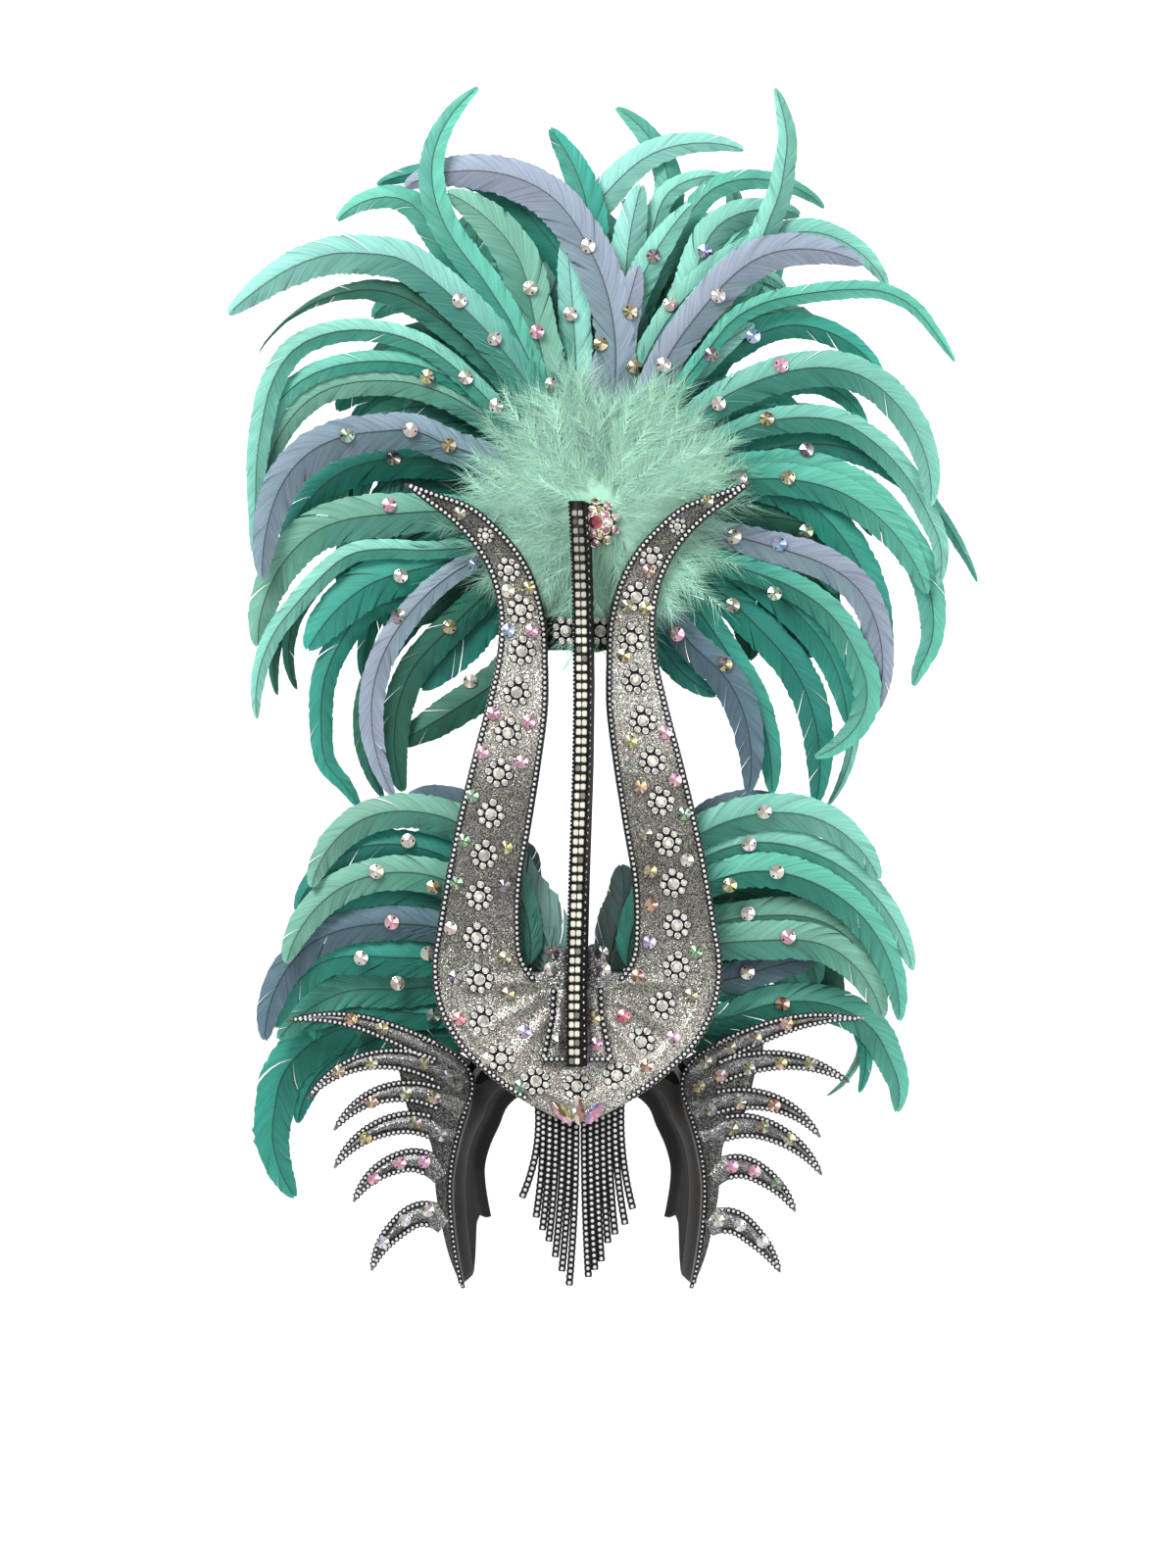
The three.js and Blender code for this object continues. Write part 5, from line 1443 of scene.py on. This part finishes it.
def build_foot_trim(side, name):
    low = FOOT_BOTTOM + 2.4
    corners = [
        (side * (FOOT_HALF_TOP - 1.0), FOOT_TOP + 1.0),
        (side * (FOOT_HALF_TOP - 0.2), FOOT_TOP - 18.0),
        (side * (FOOT_HALF_BOTTOM - 1.2), low),
        (side * 8.2, low),
    ]
    heap = Heap()
    for a, b in zip(corners[:-1], corners[1:]):
        line = np.linspace(a, b, 8)
        z = line[:, 1]
        banding(heap, at_depth(line, foot_y(z) - 0.6), lyre_normal(z), FOOT_BAND)
    publish(name, heap, [BANDING, CRYSTAL], [name])


def build_foot_stones():
    places = places_of(FOOT_STONES)
    z = places[:, 1]
    sewn_stones("foot_stones", FOOT_STONES, at_depth(places, foot_y(z) - 0.6), lyre_normal(z))


# Fringe


def fringe_top(x):
    """Height of the lyre's lower edge, where a strand is sewn on."""
    return FRINGE_TOP + FRINGE_RISE * abs(x)


def build_fringe():
    heap = Heap()
    for row in STRANDS:
        points = [(row.top, fringe_top(row.top) + 4), (row.top, FRINGE_KNEE), (row.end_x, row.end_z)]
        line = smooth_line(points, 10)
        bow = 1.2 * np.sin(np.linspace(0, math.pi, len(line))) * rng.uniform(-1, 1)
        banding(heap, at_depth(line, FRINGE_Y + bow), (0, -1, 0), STRAND_BAND)
    end = fringe_top(FRINGE_HALF)
    bar = smooth_line([(-FRINGE_HALF, end), (0, fringe_top(0) + 1), (FRINGE_HALF, end)])
    banding(heap, at_depth(bar, FRINGE_Y), (0, -1, 0), BAR_BAND)
    publish("fringe_strands", heap, [BANDING, CRYSTAL], ["fringe"])


# Feathers


def ribbons(heap, base, heading, curl, length, width, tints, steps=3):
    """Thin tapering barbs: each bends from its heading by its curl."""
    t = np.linspace(0, 1, steps + 1)[None, :, None]
    spine = base[:, None] + length[:, None, None] * (heading[:, None] * t + curl[:, None] * t * t)
    side = unit(np.cross(heading, (0, -1.0, 0)))[:, None] * (width[:, None, None] * (1.02 - t))
    points = np.stack([spine - side, spine + side], 2).reshape(len(base), -1, 3)
    strip = np.array([[2 * k, 2 * k + 1, 2 * k + 3, 2 * k + 2] for k in range(steps)])
    faces = (strip[None] + (np.arange(len(base)) * points.shape[1])[:, None, None]).reshape(-1, 4)
    heap.add(points, faces, np.repeat(np.clip(tints, 0, 1)[:, None], points.shape[1], 1))


def depth_of(row, hub, point):
    """Depth of a feather, which leans back with its distance from the root."""
    reach = np.hypot(point[..., 0] - hub.eye_x, point[..., 1] - hub.eye_z) / LEAN_REACH
    return hub.front + row.back * (1 + LEAN_BACK * reach ** 2)


def quill_of(row, hub):
    """Middle line of a feather in X and Z, spread with its depth as the view narrows it again."""
    root = np.array([hub.x, hub.z], float)
    shoulder = np.array([row.sx, row.sz], float)
    start = root + unit(shoulder - root) * hub.start
    middle = RUNS.get((row.tx, row.tz), [shoulder, (row.bx, row.bz)])
    line = smooth_line([start, *middle, (row.tx, row.tz)], 40 // len(middle))
    spread = 1 + (depth_of(row, hub, line) - VIEW_PLANE_Y) / VIEW_DISTANCE
    return (VIEW_X, VIEW_Z) + (line - (VIEW_X, VIEW_Z)) * spread[:, None]


def vane_half(row, t):
    """Half width of a vane: slim at the root, full past the middle, round at the tip."""
    root = 0.58 + 0.42 * np.clip(t / 0.45, 0, 1) ** 0.8
    tip = np.sqrt(np.clip(1 - ramp_up(t, 0.5, 0.5) ** 2.6, 0, 1))
    slim = 0.8 * ramp_up(t, 0.6, 0.3) if (row.tx, row.tz) in SLIM_TIPS else 0
    return row.wide / 2 * root * tip * (1 - slim)


def quill_at(quill, shares):
    """Points and headings at shares of a quill, straight on past its tip."""
    point, head = walk(quill, np.minimum(shares, 1).ravel())
    past = np.maximum(shares - 1, 0).ravel()[:, None] * run_of(quill)[-1]
    shape = (*np.shape(shares), 2)
    return (point + head * past).reshape(shape), head.reshape(shape)


def vane_tone(row, t, dye_and_shade_reach=0.22):
    """A feather's colour along its length: dyed deep at the root, its own tone further out; the reach of the
    deep colour also carries painted shade on lower vanes.
    """
    own = linear(row.tone)
    keep = ROOT_KEEP.get(row.tone, 0.25)
    deep = linear("root") * (1 - keep) + own * keep
    share = ramp_up(t, dye_and_shade_reach, 0.36)
    share = (share * share * (3 - 2 * share))[..., None]
    return deep * (1 - share) + own * share


def build_vane(heap, row, hub, quill, side, number, pitch):
    """One side of a feather: barbs swept forward in clumps that part at the edge."""
    length = run_of(quill)[-1]
    upper = side * (quill[-1, 0] - quill[0, 0]) > 0
    # The upper vane is painted lighter and the lower one darker, as light and shade, on a tone that differs
    # at random
    shade = rng.uniform(0.9, 1.08) * (1.1 if upper else 0.84)
    roll_root, roll_tip = rng.uniform(-VANE_ROLL, VANE_ROLL, 2)
    cup = rng.uniform(*VANE_CUP)
    wave = rng.uniform(*VANE_WAVE)
    # Deep root colour reaches further on the lower vane: dyed, with painted shade
    dye_and_shade_reach = rng.uniform(*(DYE_AND_LIGHT_UPPER if upper else DYE_AND_SHADE_LOWER))
    swell = rng.uniform(*VANE_SWELL)
    swell_at = rng.uniform(0, 2 * math.pi)
    cuts = np.sort(rng.uniform(0.2, 0.97, rng.integers(*CUTS)))
    bounds = np.concatenate([[VANE_FROM], cuts[np.diff(cuts, append=1.0) > 0.03], [0.999]])
    s = VANE_COLUMNS[None]
    for low, high in zip(bounds[:-1], bounds[1:]):
        rows = max(3, int(round((high - low) * length / pitch)))
        tau = np.linspace(0, 1, rows)
        reach = low + (high - low) * tau
        half = vane_half(row, reach) * (1 + swell * np.sin(9 * reach + swell_at))
        start = np.maximum(reach - BARB_SWEEP * half / length, 0)
        ragged = (half * (1 + rng.normal(0, 0.03, rows)))[:, None]
        part = min(rng.exponential(PART_TYPICAL), PART_MOST) * ((1 - tau) ** 4 - tau ** 4)[:, None]
        t = start[:, None] + (reach - start)[:, None] * s ** 1.2 + part * s ** 1.8 / length
        point, head = quill_at(quill, t)
        roll = (roll_root + (roll_tip - roll_root) * t) * side
        place = point + lefts(head) * (ragged * s * np.cos(roll) * side)[..., None]
        ripple = 0.6 * np.sin(2 * math.pi * t * length / wave) * s ** 2
        back = ragged * (cup * s ** 1.5 + np.sin(roll) * s * 0.5) + ripple + rng.uniform(-0.6, 0.6) * s ** 2
        y = depth_of(row, hub, point) + back
        # Painted light: lighter towards the vane's edge and its tip, darker by the quill; then times the
        # side's painted light, tones at random and the painted shade at each cut
        painted_light_and_tone = 0.86 + 0.2 * s + 0.12 * ramp_up(t, 0.6, 0.4)
        painted_light_and_tone = painted_light_and_tone * shade * rng.uniform(0.93, 1.07) * rng.uniform(0.95, 1.05, (rows, 1))
        # Painted shade along the start of each clump, deeper towards the edge
        painted_light_and_tone = painted_light_and_tone * (1 - PAINTED_CUT_SHADE * s * bell(np.arange(rows), 1.1)[:, None])
        tint = np.clip(painted_light_and_tone[..., None] * vane_tone(row, t, dye_and_shade_reach), 0, 1)
        barb = np.stack(np.broadcast_arrays((start * length)[:, None], s * side, float(number)), -1)
        points = np.stack([place[..., 0], y, place[..., 1]], -1)
        heap.add(points, grid_faces(rows, s.shape[1], flip=side > 0), tint, barb=barb)


def build_wisps(heap, row, hub, quill):
    """Loose barbs along the root of a feather."""
    t = rng.uniform(0.03, WISP_TO, WISPS)
    point, head = quill_at(quill, t)
    side = rng.choice([-1.0, 1.0], WISPS)
    base = at_depth(point, depth_of(row, hub, point) + 0.4)
    ahead = at_depth(head, 0)
    across = at_depth(lefts(head), 0) * side[:, None]
    heading = unit(ahead + across * rng.uniform(0.25, 0.75, (WISPS, 1)))
    curl = ahead * 0.2 + rng.normal(0, 0.12, (WISPS, 3)) * (1, 0.4, 1)
    length = rng.uniform(0.5, 1.05, WISPS) * row.wide
    tints = vane_tone(row, t) * rng.uniform(0.75, 1.15, (WISPS, 1))
    ribbons(heap, base, heading, curl, length, rng.uniform(0.3, 0.6, WISPS), tints)


def build_rachis(heap, row, hub, quill):
    """Thin dark shaft down the middle."""
    t = np.linspace(0, 0.985, 34)
    point, head = walk(quill, t)
    radius = (SHAFT_RADIUS * (1 - 0.65 * t))[:, None]
    across = at_depth(lefts(head), 0)
    centre = at_depth(point, depth_of(row, hub, point) - 0.25)
    rings = [centre + radius * (c * across + s * np.array([0, 1, 0])) for c, s in circle(5)]
    loft(heap, np.stack(rings, 1), tint=linear(row.tone) * 0.26)


def under_row(row, hub, way):
    """A shorter, darker feather behind another, turned a little about the root."""
    turn = math.radians(way * rng.uniform(*UNDER_TURN))
    upright = row.tz - hub.z > 0.9 * abs(row.tx - hub.x)
    size = rng.uniform(*(UNDER_LONG if upright or hub.start < 5 else UNDER_SHORT))
    spin = np.array([[math.cos(turn), math.sin(turn)], [-math.sin(turn), math.cos(turn)]])
    root = np.array([hub.x, hub.z])
    places = [(np.array(p) - root) @ spin * size + root for p in (row[0:2], row[2:4], row[4:6])]
    tones = UNDER_HIGH_TONES if upright else UNDER_TONES
    tone = tones[rng.integers(len(tones))]
    return Feather(*np.concatenate(places), row.wide * UNDER_WIDE, rng.uniform(*UNDER_BACK), tone)


def build_plume(rows, hub, name, open_rows, extra=()):
    """A fan of feathers over a second layer of shorter ones, left out behind the open rows.

    Extra feathers come with a hub of their own and have nothing behind them.
    """
    heap = Heap()
    backed = [row for k, row in enumerate(rows) if k not in open_rows]
    under = [under_row(row, hub, way) for row in backed for way in (-1, 1)]
    layers = [(row, hub, BARB_PITCH) for row in rows] + [(row, hub, UNDER_PITCH) for row in under]
    layers += [(row, place, BARB_PITCH) for row, place in extra]
    for number, (row, place, pitch) in enumerate(layers):
        quill = quill_of(row, place)
        for side in (-1, 1):
            build_vane(heap, row, place, quill, side, number, pitch)
        build_wisps(heap, row, place, quill)
        build_rachis(heap, row, place, quill)
    FEATHER_POINTS.append(np.concatenate(heap.points))
    publish(name + "_feathers", heap, [FEATHER], [name])


def build_feather_stones():
    """Each stone sits on the foremost vane at its place."""
    cloud = np.concatenate(FEATHER_POINTS)
    stones = UPPER_STONES + LOWER_STONES
    seats = []
    for x, z in places_of(stones):
        gap = np.hypot(cloud[:, 0] - x, cloud[:, 2] - z)
        near = cloud[gap < max(SEAT_REACH, gap.min() + 1)]
        seats.append((x, near[:, 1].min() - 0.6, z))
    SPOTS.extend((*seat, SPOT_STONE) for seat in seats)
    facing = forward(len(seats)) + rng.uniform(-0.15, 0.15, (len(seats), 3))
    sewn_stones("feather_stones", stones, seats, facing, FEATHER_STONE)


# Fluffy down


def down_front(x):
    """Foremost depth of the down: full between the horns, flat behind them."""
    return DOWN_Y - 3 - 7 * bell(x - 8, 30)


def add_tuft(heap):
    """One tuft: barbs along a short bent stem."""
    angle = rng.uniform(0, 2 * math.pi)
    out = math.sqrt(rng.random())
    seat = np.array([DOWN_X + 0.62 * DOWN_HALF_X * out * math.cos(angle),
                     DOWN_Y - 5 * (1 - out) - rng.uniform(0, 3),
                     DOWN_Z + 0.62 * DOWN_HALF_Z * out * math.sin(angle)])
    if seat[0] > DOWN_THIN_X and seat[2] < DOWN_THIN_Z and rng.random() < DOWN_THIN:
        return
    aim = angle + rng.normal(0, 0.35)
    grey = rng.random() ** 2 * (0.75 if seat[0] < DOWN_X else 0.4)
    heading = unit(np.array([math.cos(aim), rng.uniform(-0.12, 0.06), math.sin(aim)]))
    length = rng.uniform(*TUFT_LENGTH)
    sway = rng.normal(0, 0.16, 3)
    t = np.sort(rng.random(DOWN_BARBS))
    base = seat + length * (t[:, None] * heading + (t ** 2)[:, None] * sway)
    across = unit(np.cross(heading, (0, -1.0, 0)))
    side = rng.choice([-1.0, 1.0], DOWN_BARBS)[:, None]
    spread = rng.uniform(0.35, 1.0, DOWN_BARBS)[:, None]
    lean = unit(heading + side * across * spread + rng.normal(0, 0.2, (DOWN_BARBS, 3)) * (1, 0.4, 1))
    curl = heading * 0.25 + rng.normal(0, 0.2, (DOWN_BARBS, 3)) * (1, 0.3, 1)
    reach = rng.uniform(9, 30, DOWN_BARBS) * (1.1 - 0.55 * t)
    width = rng.uniform(0.09, 0.22, DOWN_BARBS)
    hue = linear("down") * (1 - grey) + linear("mist") * grey
    tints = hue * rng.uniform(0.8, 1.12) * rng.uniform(0.85, 1.12, (DOWN_BARBS, 1))
    ribbons(heap, base, lean, curl, reach, width, tints)


def build_down():
    """Tufts on a low dome, pressed flat behind the lyre and parted round stones and flowers."""
    heap = Heap()
    ring = circle(40) * (0.72 * DOWN_HALF_X, 0.72 * DOWN_HALF_Z)
    shares = np.linspace(0.98, 0.02, 9)
    dome = [at_depth(ring * k + (DOWN_X, DOWN_Z), DOWN_Y + 4 - 5 * math.sqrt(1 - k * k)) for k in shares]
    loft(heap, dome, tint=linear("down"))
    for _ in range(DOWN_TUFTS):
        add_tuft(heap)
    for block in heap.points:
        front = down_front(block[:, 0])
        block[:, 1] = np.where(block[:, 1] < front, front + 0.15 * (block[:, 1] - front), block[:, 1])
        for x, y, z, clear in SPOTS:
            near = np.hypot(block[:, 0] - x, block[:, 2] - z) < clear
            block[near, 1] = np.maximum(block[near, 1], y + 1.5)
    publish("down_tufts", heap, [DOWN], ["plume_down"])


# Brooch and yoke


def build_brooch():
    """Two rings of small stones round a large one, on a silver plate."""
    heap = Heap()
    x, y, z = BROOCH
    inner = at_depth(circle(10) * BROOCH_INNER + (x, z), y - 3.5)
    outer = at_depth(circle(10, BROOCH_SHIFT) * BROOCH_OUTER + (x, z), y - 1.5)
    ring = np.concatenate([inner, outer])
    frames = axes_on(np.column_stack([ring[:, 0] - x, np.full(len(ring), -14.0), ring[:, 2] - z]))
    middle = np.array([[x, y - 4.5, z]])
    cups(heap, ring, frames, 3.0, 2.2, 1, linear("clear"))
    tints = aurora_tints(BROOCH_TONES * 2, 12, 0.7)
    set_stones(heap, ROUND_CUT, ring - (0, 0.6, 0), frames, 3.0, 1.8, tints, 0)
    frames = axes_on(forward(1))
    cups(heap, middle, frames, 5.0, 2.6, 1, linear("clear"))
    tints = aurora_tints(["rose"], 12, 0.85)
    set_stones(heap, ROUND_CUT, middle - (0, 0.8, 0), frames, 5.0, 2.6, tints, 0)
    section = ((14, y + 1.4), (BROOCH_OUTER, y), (12, y - 1.5), (7, y - 3.5))
    plate = [at_depth(circle(16) * radius + (x, z), depth) for radius, depth in section]
    loft(heap, plate, tint=linear("smoke"), number=1)
    publish("brooch", heap, [AURORA, SILVER], ["brooch"])


def build_yoke():
    """Crossbar with two flowers, set back between the horns."""
    heap = Heap()
    low, high = (np.array(c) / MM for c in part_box("yoke"))
    x = np.linspace(low[0], high[0], 25)
    face = np.where(np.abs(x) > YOKE_INSIDE, low[1], low[1] + YOKE_SET_BACK)
    rings = [
        [(a, high[1], low[2]), (a, f + 1, low[2]), (a, f, low[2] + 1.2), (a, f, high[2] - 1.2),
         (a, f + 1, high[2]), (a, high[1], high[2])]
        for a, f in zip(x, face)
    ]
    loft(heap, rings, number=2, smooth=False)
    for x in YOKE_FLOWERS_X:
        seat = np.array([x, low[1] + 2.9, YOKE_FLOWERS_Z])
        flower(heap, seat, (0, -1.0, 0), 0.4)
        SPOTS.append((*seat, SPOT_FLOWER))
    publish("yoke_bar", heap, [SILVER, CRYSTAL, FOAM_DARK], ["yoke"])


# Stage


def add_object(name, data):
    made = bpy.data.objects.new(name, data)
    bpy.context.scene.collection.objects.link(made)
    return made


def build_stage():
    """A pale floor well below that sweeps up behind into a backdrop."""
    turn = np.linspace(0, math.pi / 2, 13)
    sweep = np.column_stack([WALL_Y - BEND * (1 - np.sin(turn)), FLOOR_Z + BEND * (1 - np.cos(turn))])
    profile = [(-WALL_Y, FLOOR_Z), *sweep, (WALL_Y, WALL_TOP)]
    points = [(x, y, z) for y, z in profile for x in (-STAGE_HALF, STAGE_HALF)]
    mesh = bpy.data.meshes.new("floor")
    mesh.from_pydata((np.array(points) * MM).tolist(), [], grid_faces(len(profile), 2).tolist())
    mesh.polygons.foreach_set("use_smooth", np.ones(len(mesh.polygons), bool))
    mesh.materials.append(shader("pale_floor", Base_Color=(0.93, 0.93, 0.93, 1), Roughness=0.9)[0])
    floor = add_object("floor", mesh)


def build_light():
    scene = bpy.context.scene
    world = bpy.data.worlds.new("studio")
    world.use_nodes = True
    background = world.node_tree.nodes["Background"]
    background.inputs[0].default_value = (1, 1, 1, 1)
    background.inputs[1].default_value = WORLD_LIGHT
    scene.world = world
    for row in LAMPS:
        data = bpy.data.lights.new(row.name, "AREA")
        data.shape = "RECTANGLE"
        data.size, data.size_y = row.size
        data.energy = row.power
        data.spread = math.radians(row.spread)
        light = add_object(row.name, data)
        light.location = np.array(row.place) * MM
        aim = add_object(row.name + "_aim", None)
        aim.location = np.array(row.target) * MM
        track = light.constraints.new("TRACK_TO")
        track.target = aim
        track.track_axis = "TRACK_NEGATIVE_Z"
        track.up_axis = "UP_Y"
    scene.view_settings.view_transform = "Standard"


def build_camera():
    data = bpy.data.cameras.new("camera")
    data.sensor_fit = "VERTICAL"
    data.sensor_height = 24.0
    data.lens = data.sensor_height * VIEW_DISTANCE / VIEW_HEIGHT
    camera = add_object("camera", data)
    camera.location = np.array((VIEW_X, VIEW_PLANE_Y - VIEW_DISTANCE, VIEW_Z)) * MM
    camera.rotation_euler = (math.pi / 2, 0, 0)
    bpy.context.scene.camera = camera


def dress(node, material):
    """A better finish on a node that keeps its own shape."""
    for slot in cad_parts[node].material_slots:
        slot.material = material


build_camera()
build_stage()
build_light()
build_cap()
build_lyre()
build_middle_flower()
for side, word in ((-1, "left"), (1, "right")):
    build_lyre_trim(side, f"lyre_trim_{word}")
    build_flowers(side, f"flowers_{word}")
    build_wing(side, f"wing_{word}")
    build_wing_trim(side, f"wing_trim_{word}")
    build_foot_trim(side, f"foot_trim_{word}")
build_lyre_stones()
build_crest_stones()
build_marquises()
build_wing_stones()
build_spine_band()
build_spine_side()
build_foot()
build_crest()
build_foot_stones()
build_fringe()
build_plume(UPPER_LEFT, HUB_LEFT, "plume_left", OPEN_LEFT, [(row, HUB_LEFT) for row in INNER_LEFT])
build_plume(UPPER_RIGHT, HUB_RIGHT, "plume_right", OPEN_RIGHT)
build_plume(LOWER_LEFT, HUB_LOW_LEFT, "side_plume_left", OPEN_LOW_LEFT,
            [(GAP_LEFT, HUB_GAP_LEFT), (LOW_LEFT, HUB_LOW_LEFT)])
build_plume(LOWER_RIGHT, HUB_LOW_RIGHT, "side_plume_right", OPEN_LOW_RIGHT,
            [(GAP_RIGHT, HUB_GAP_RIGHT), (LOW_RIGHT, HUB_LOW_RIGHT)])
build_feather_stones()
build_yoke()
build_down()
build_brooch()
dress("spine", FIN_BLACK)
dress("plume_base", FELT)
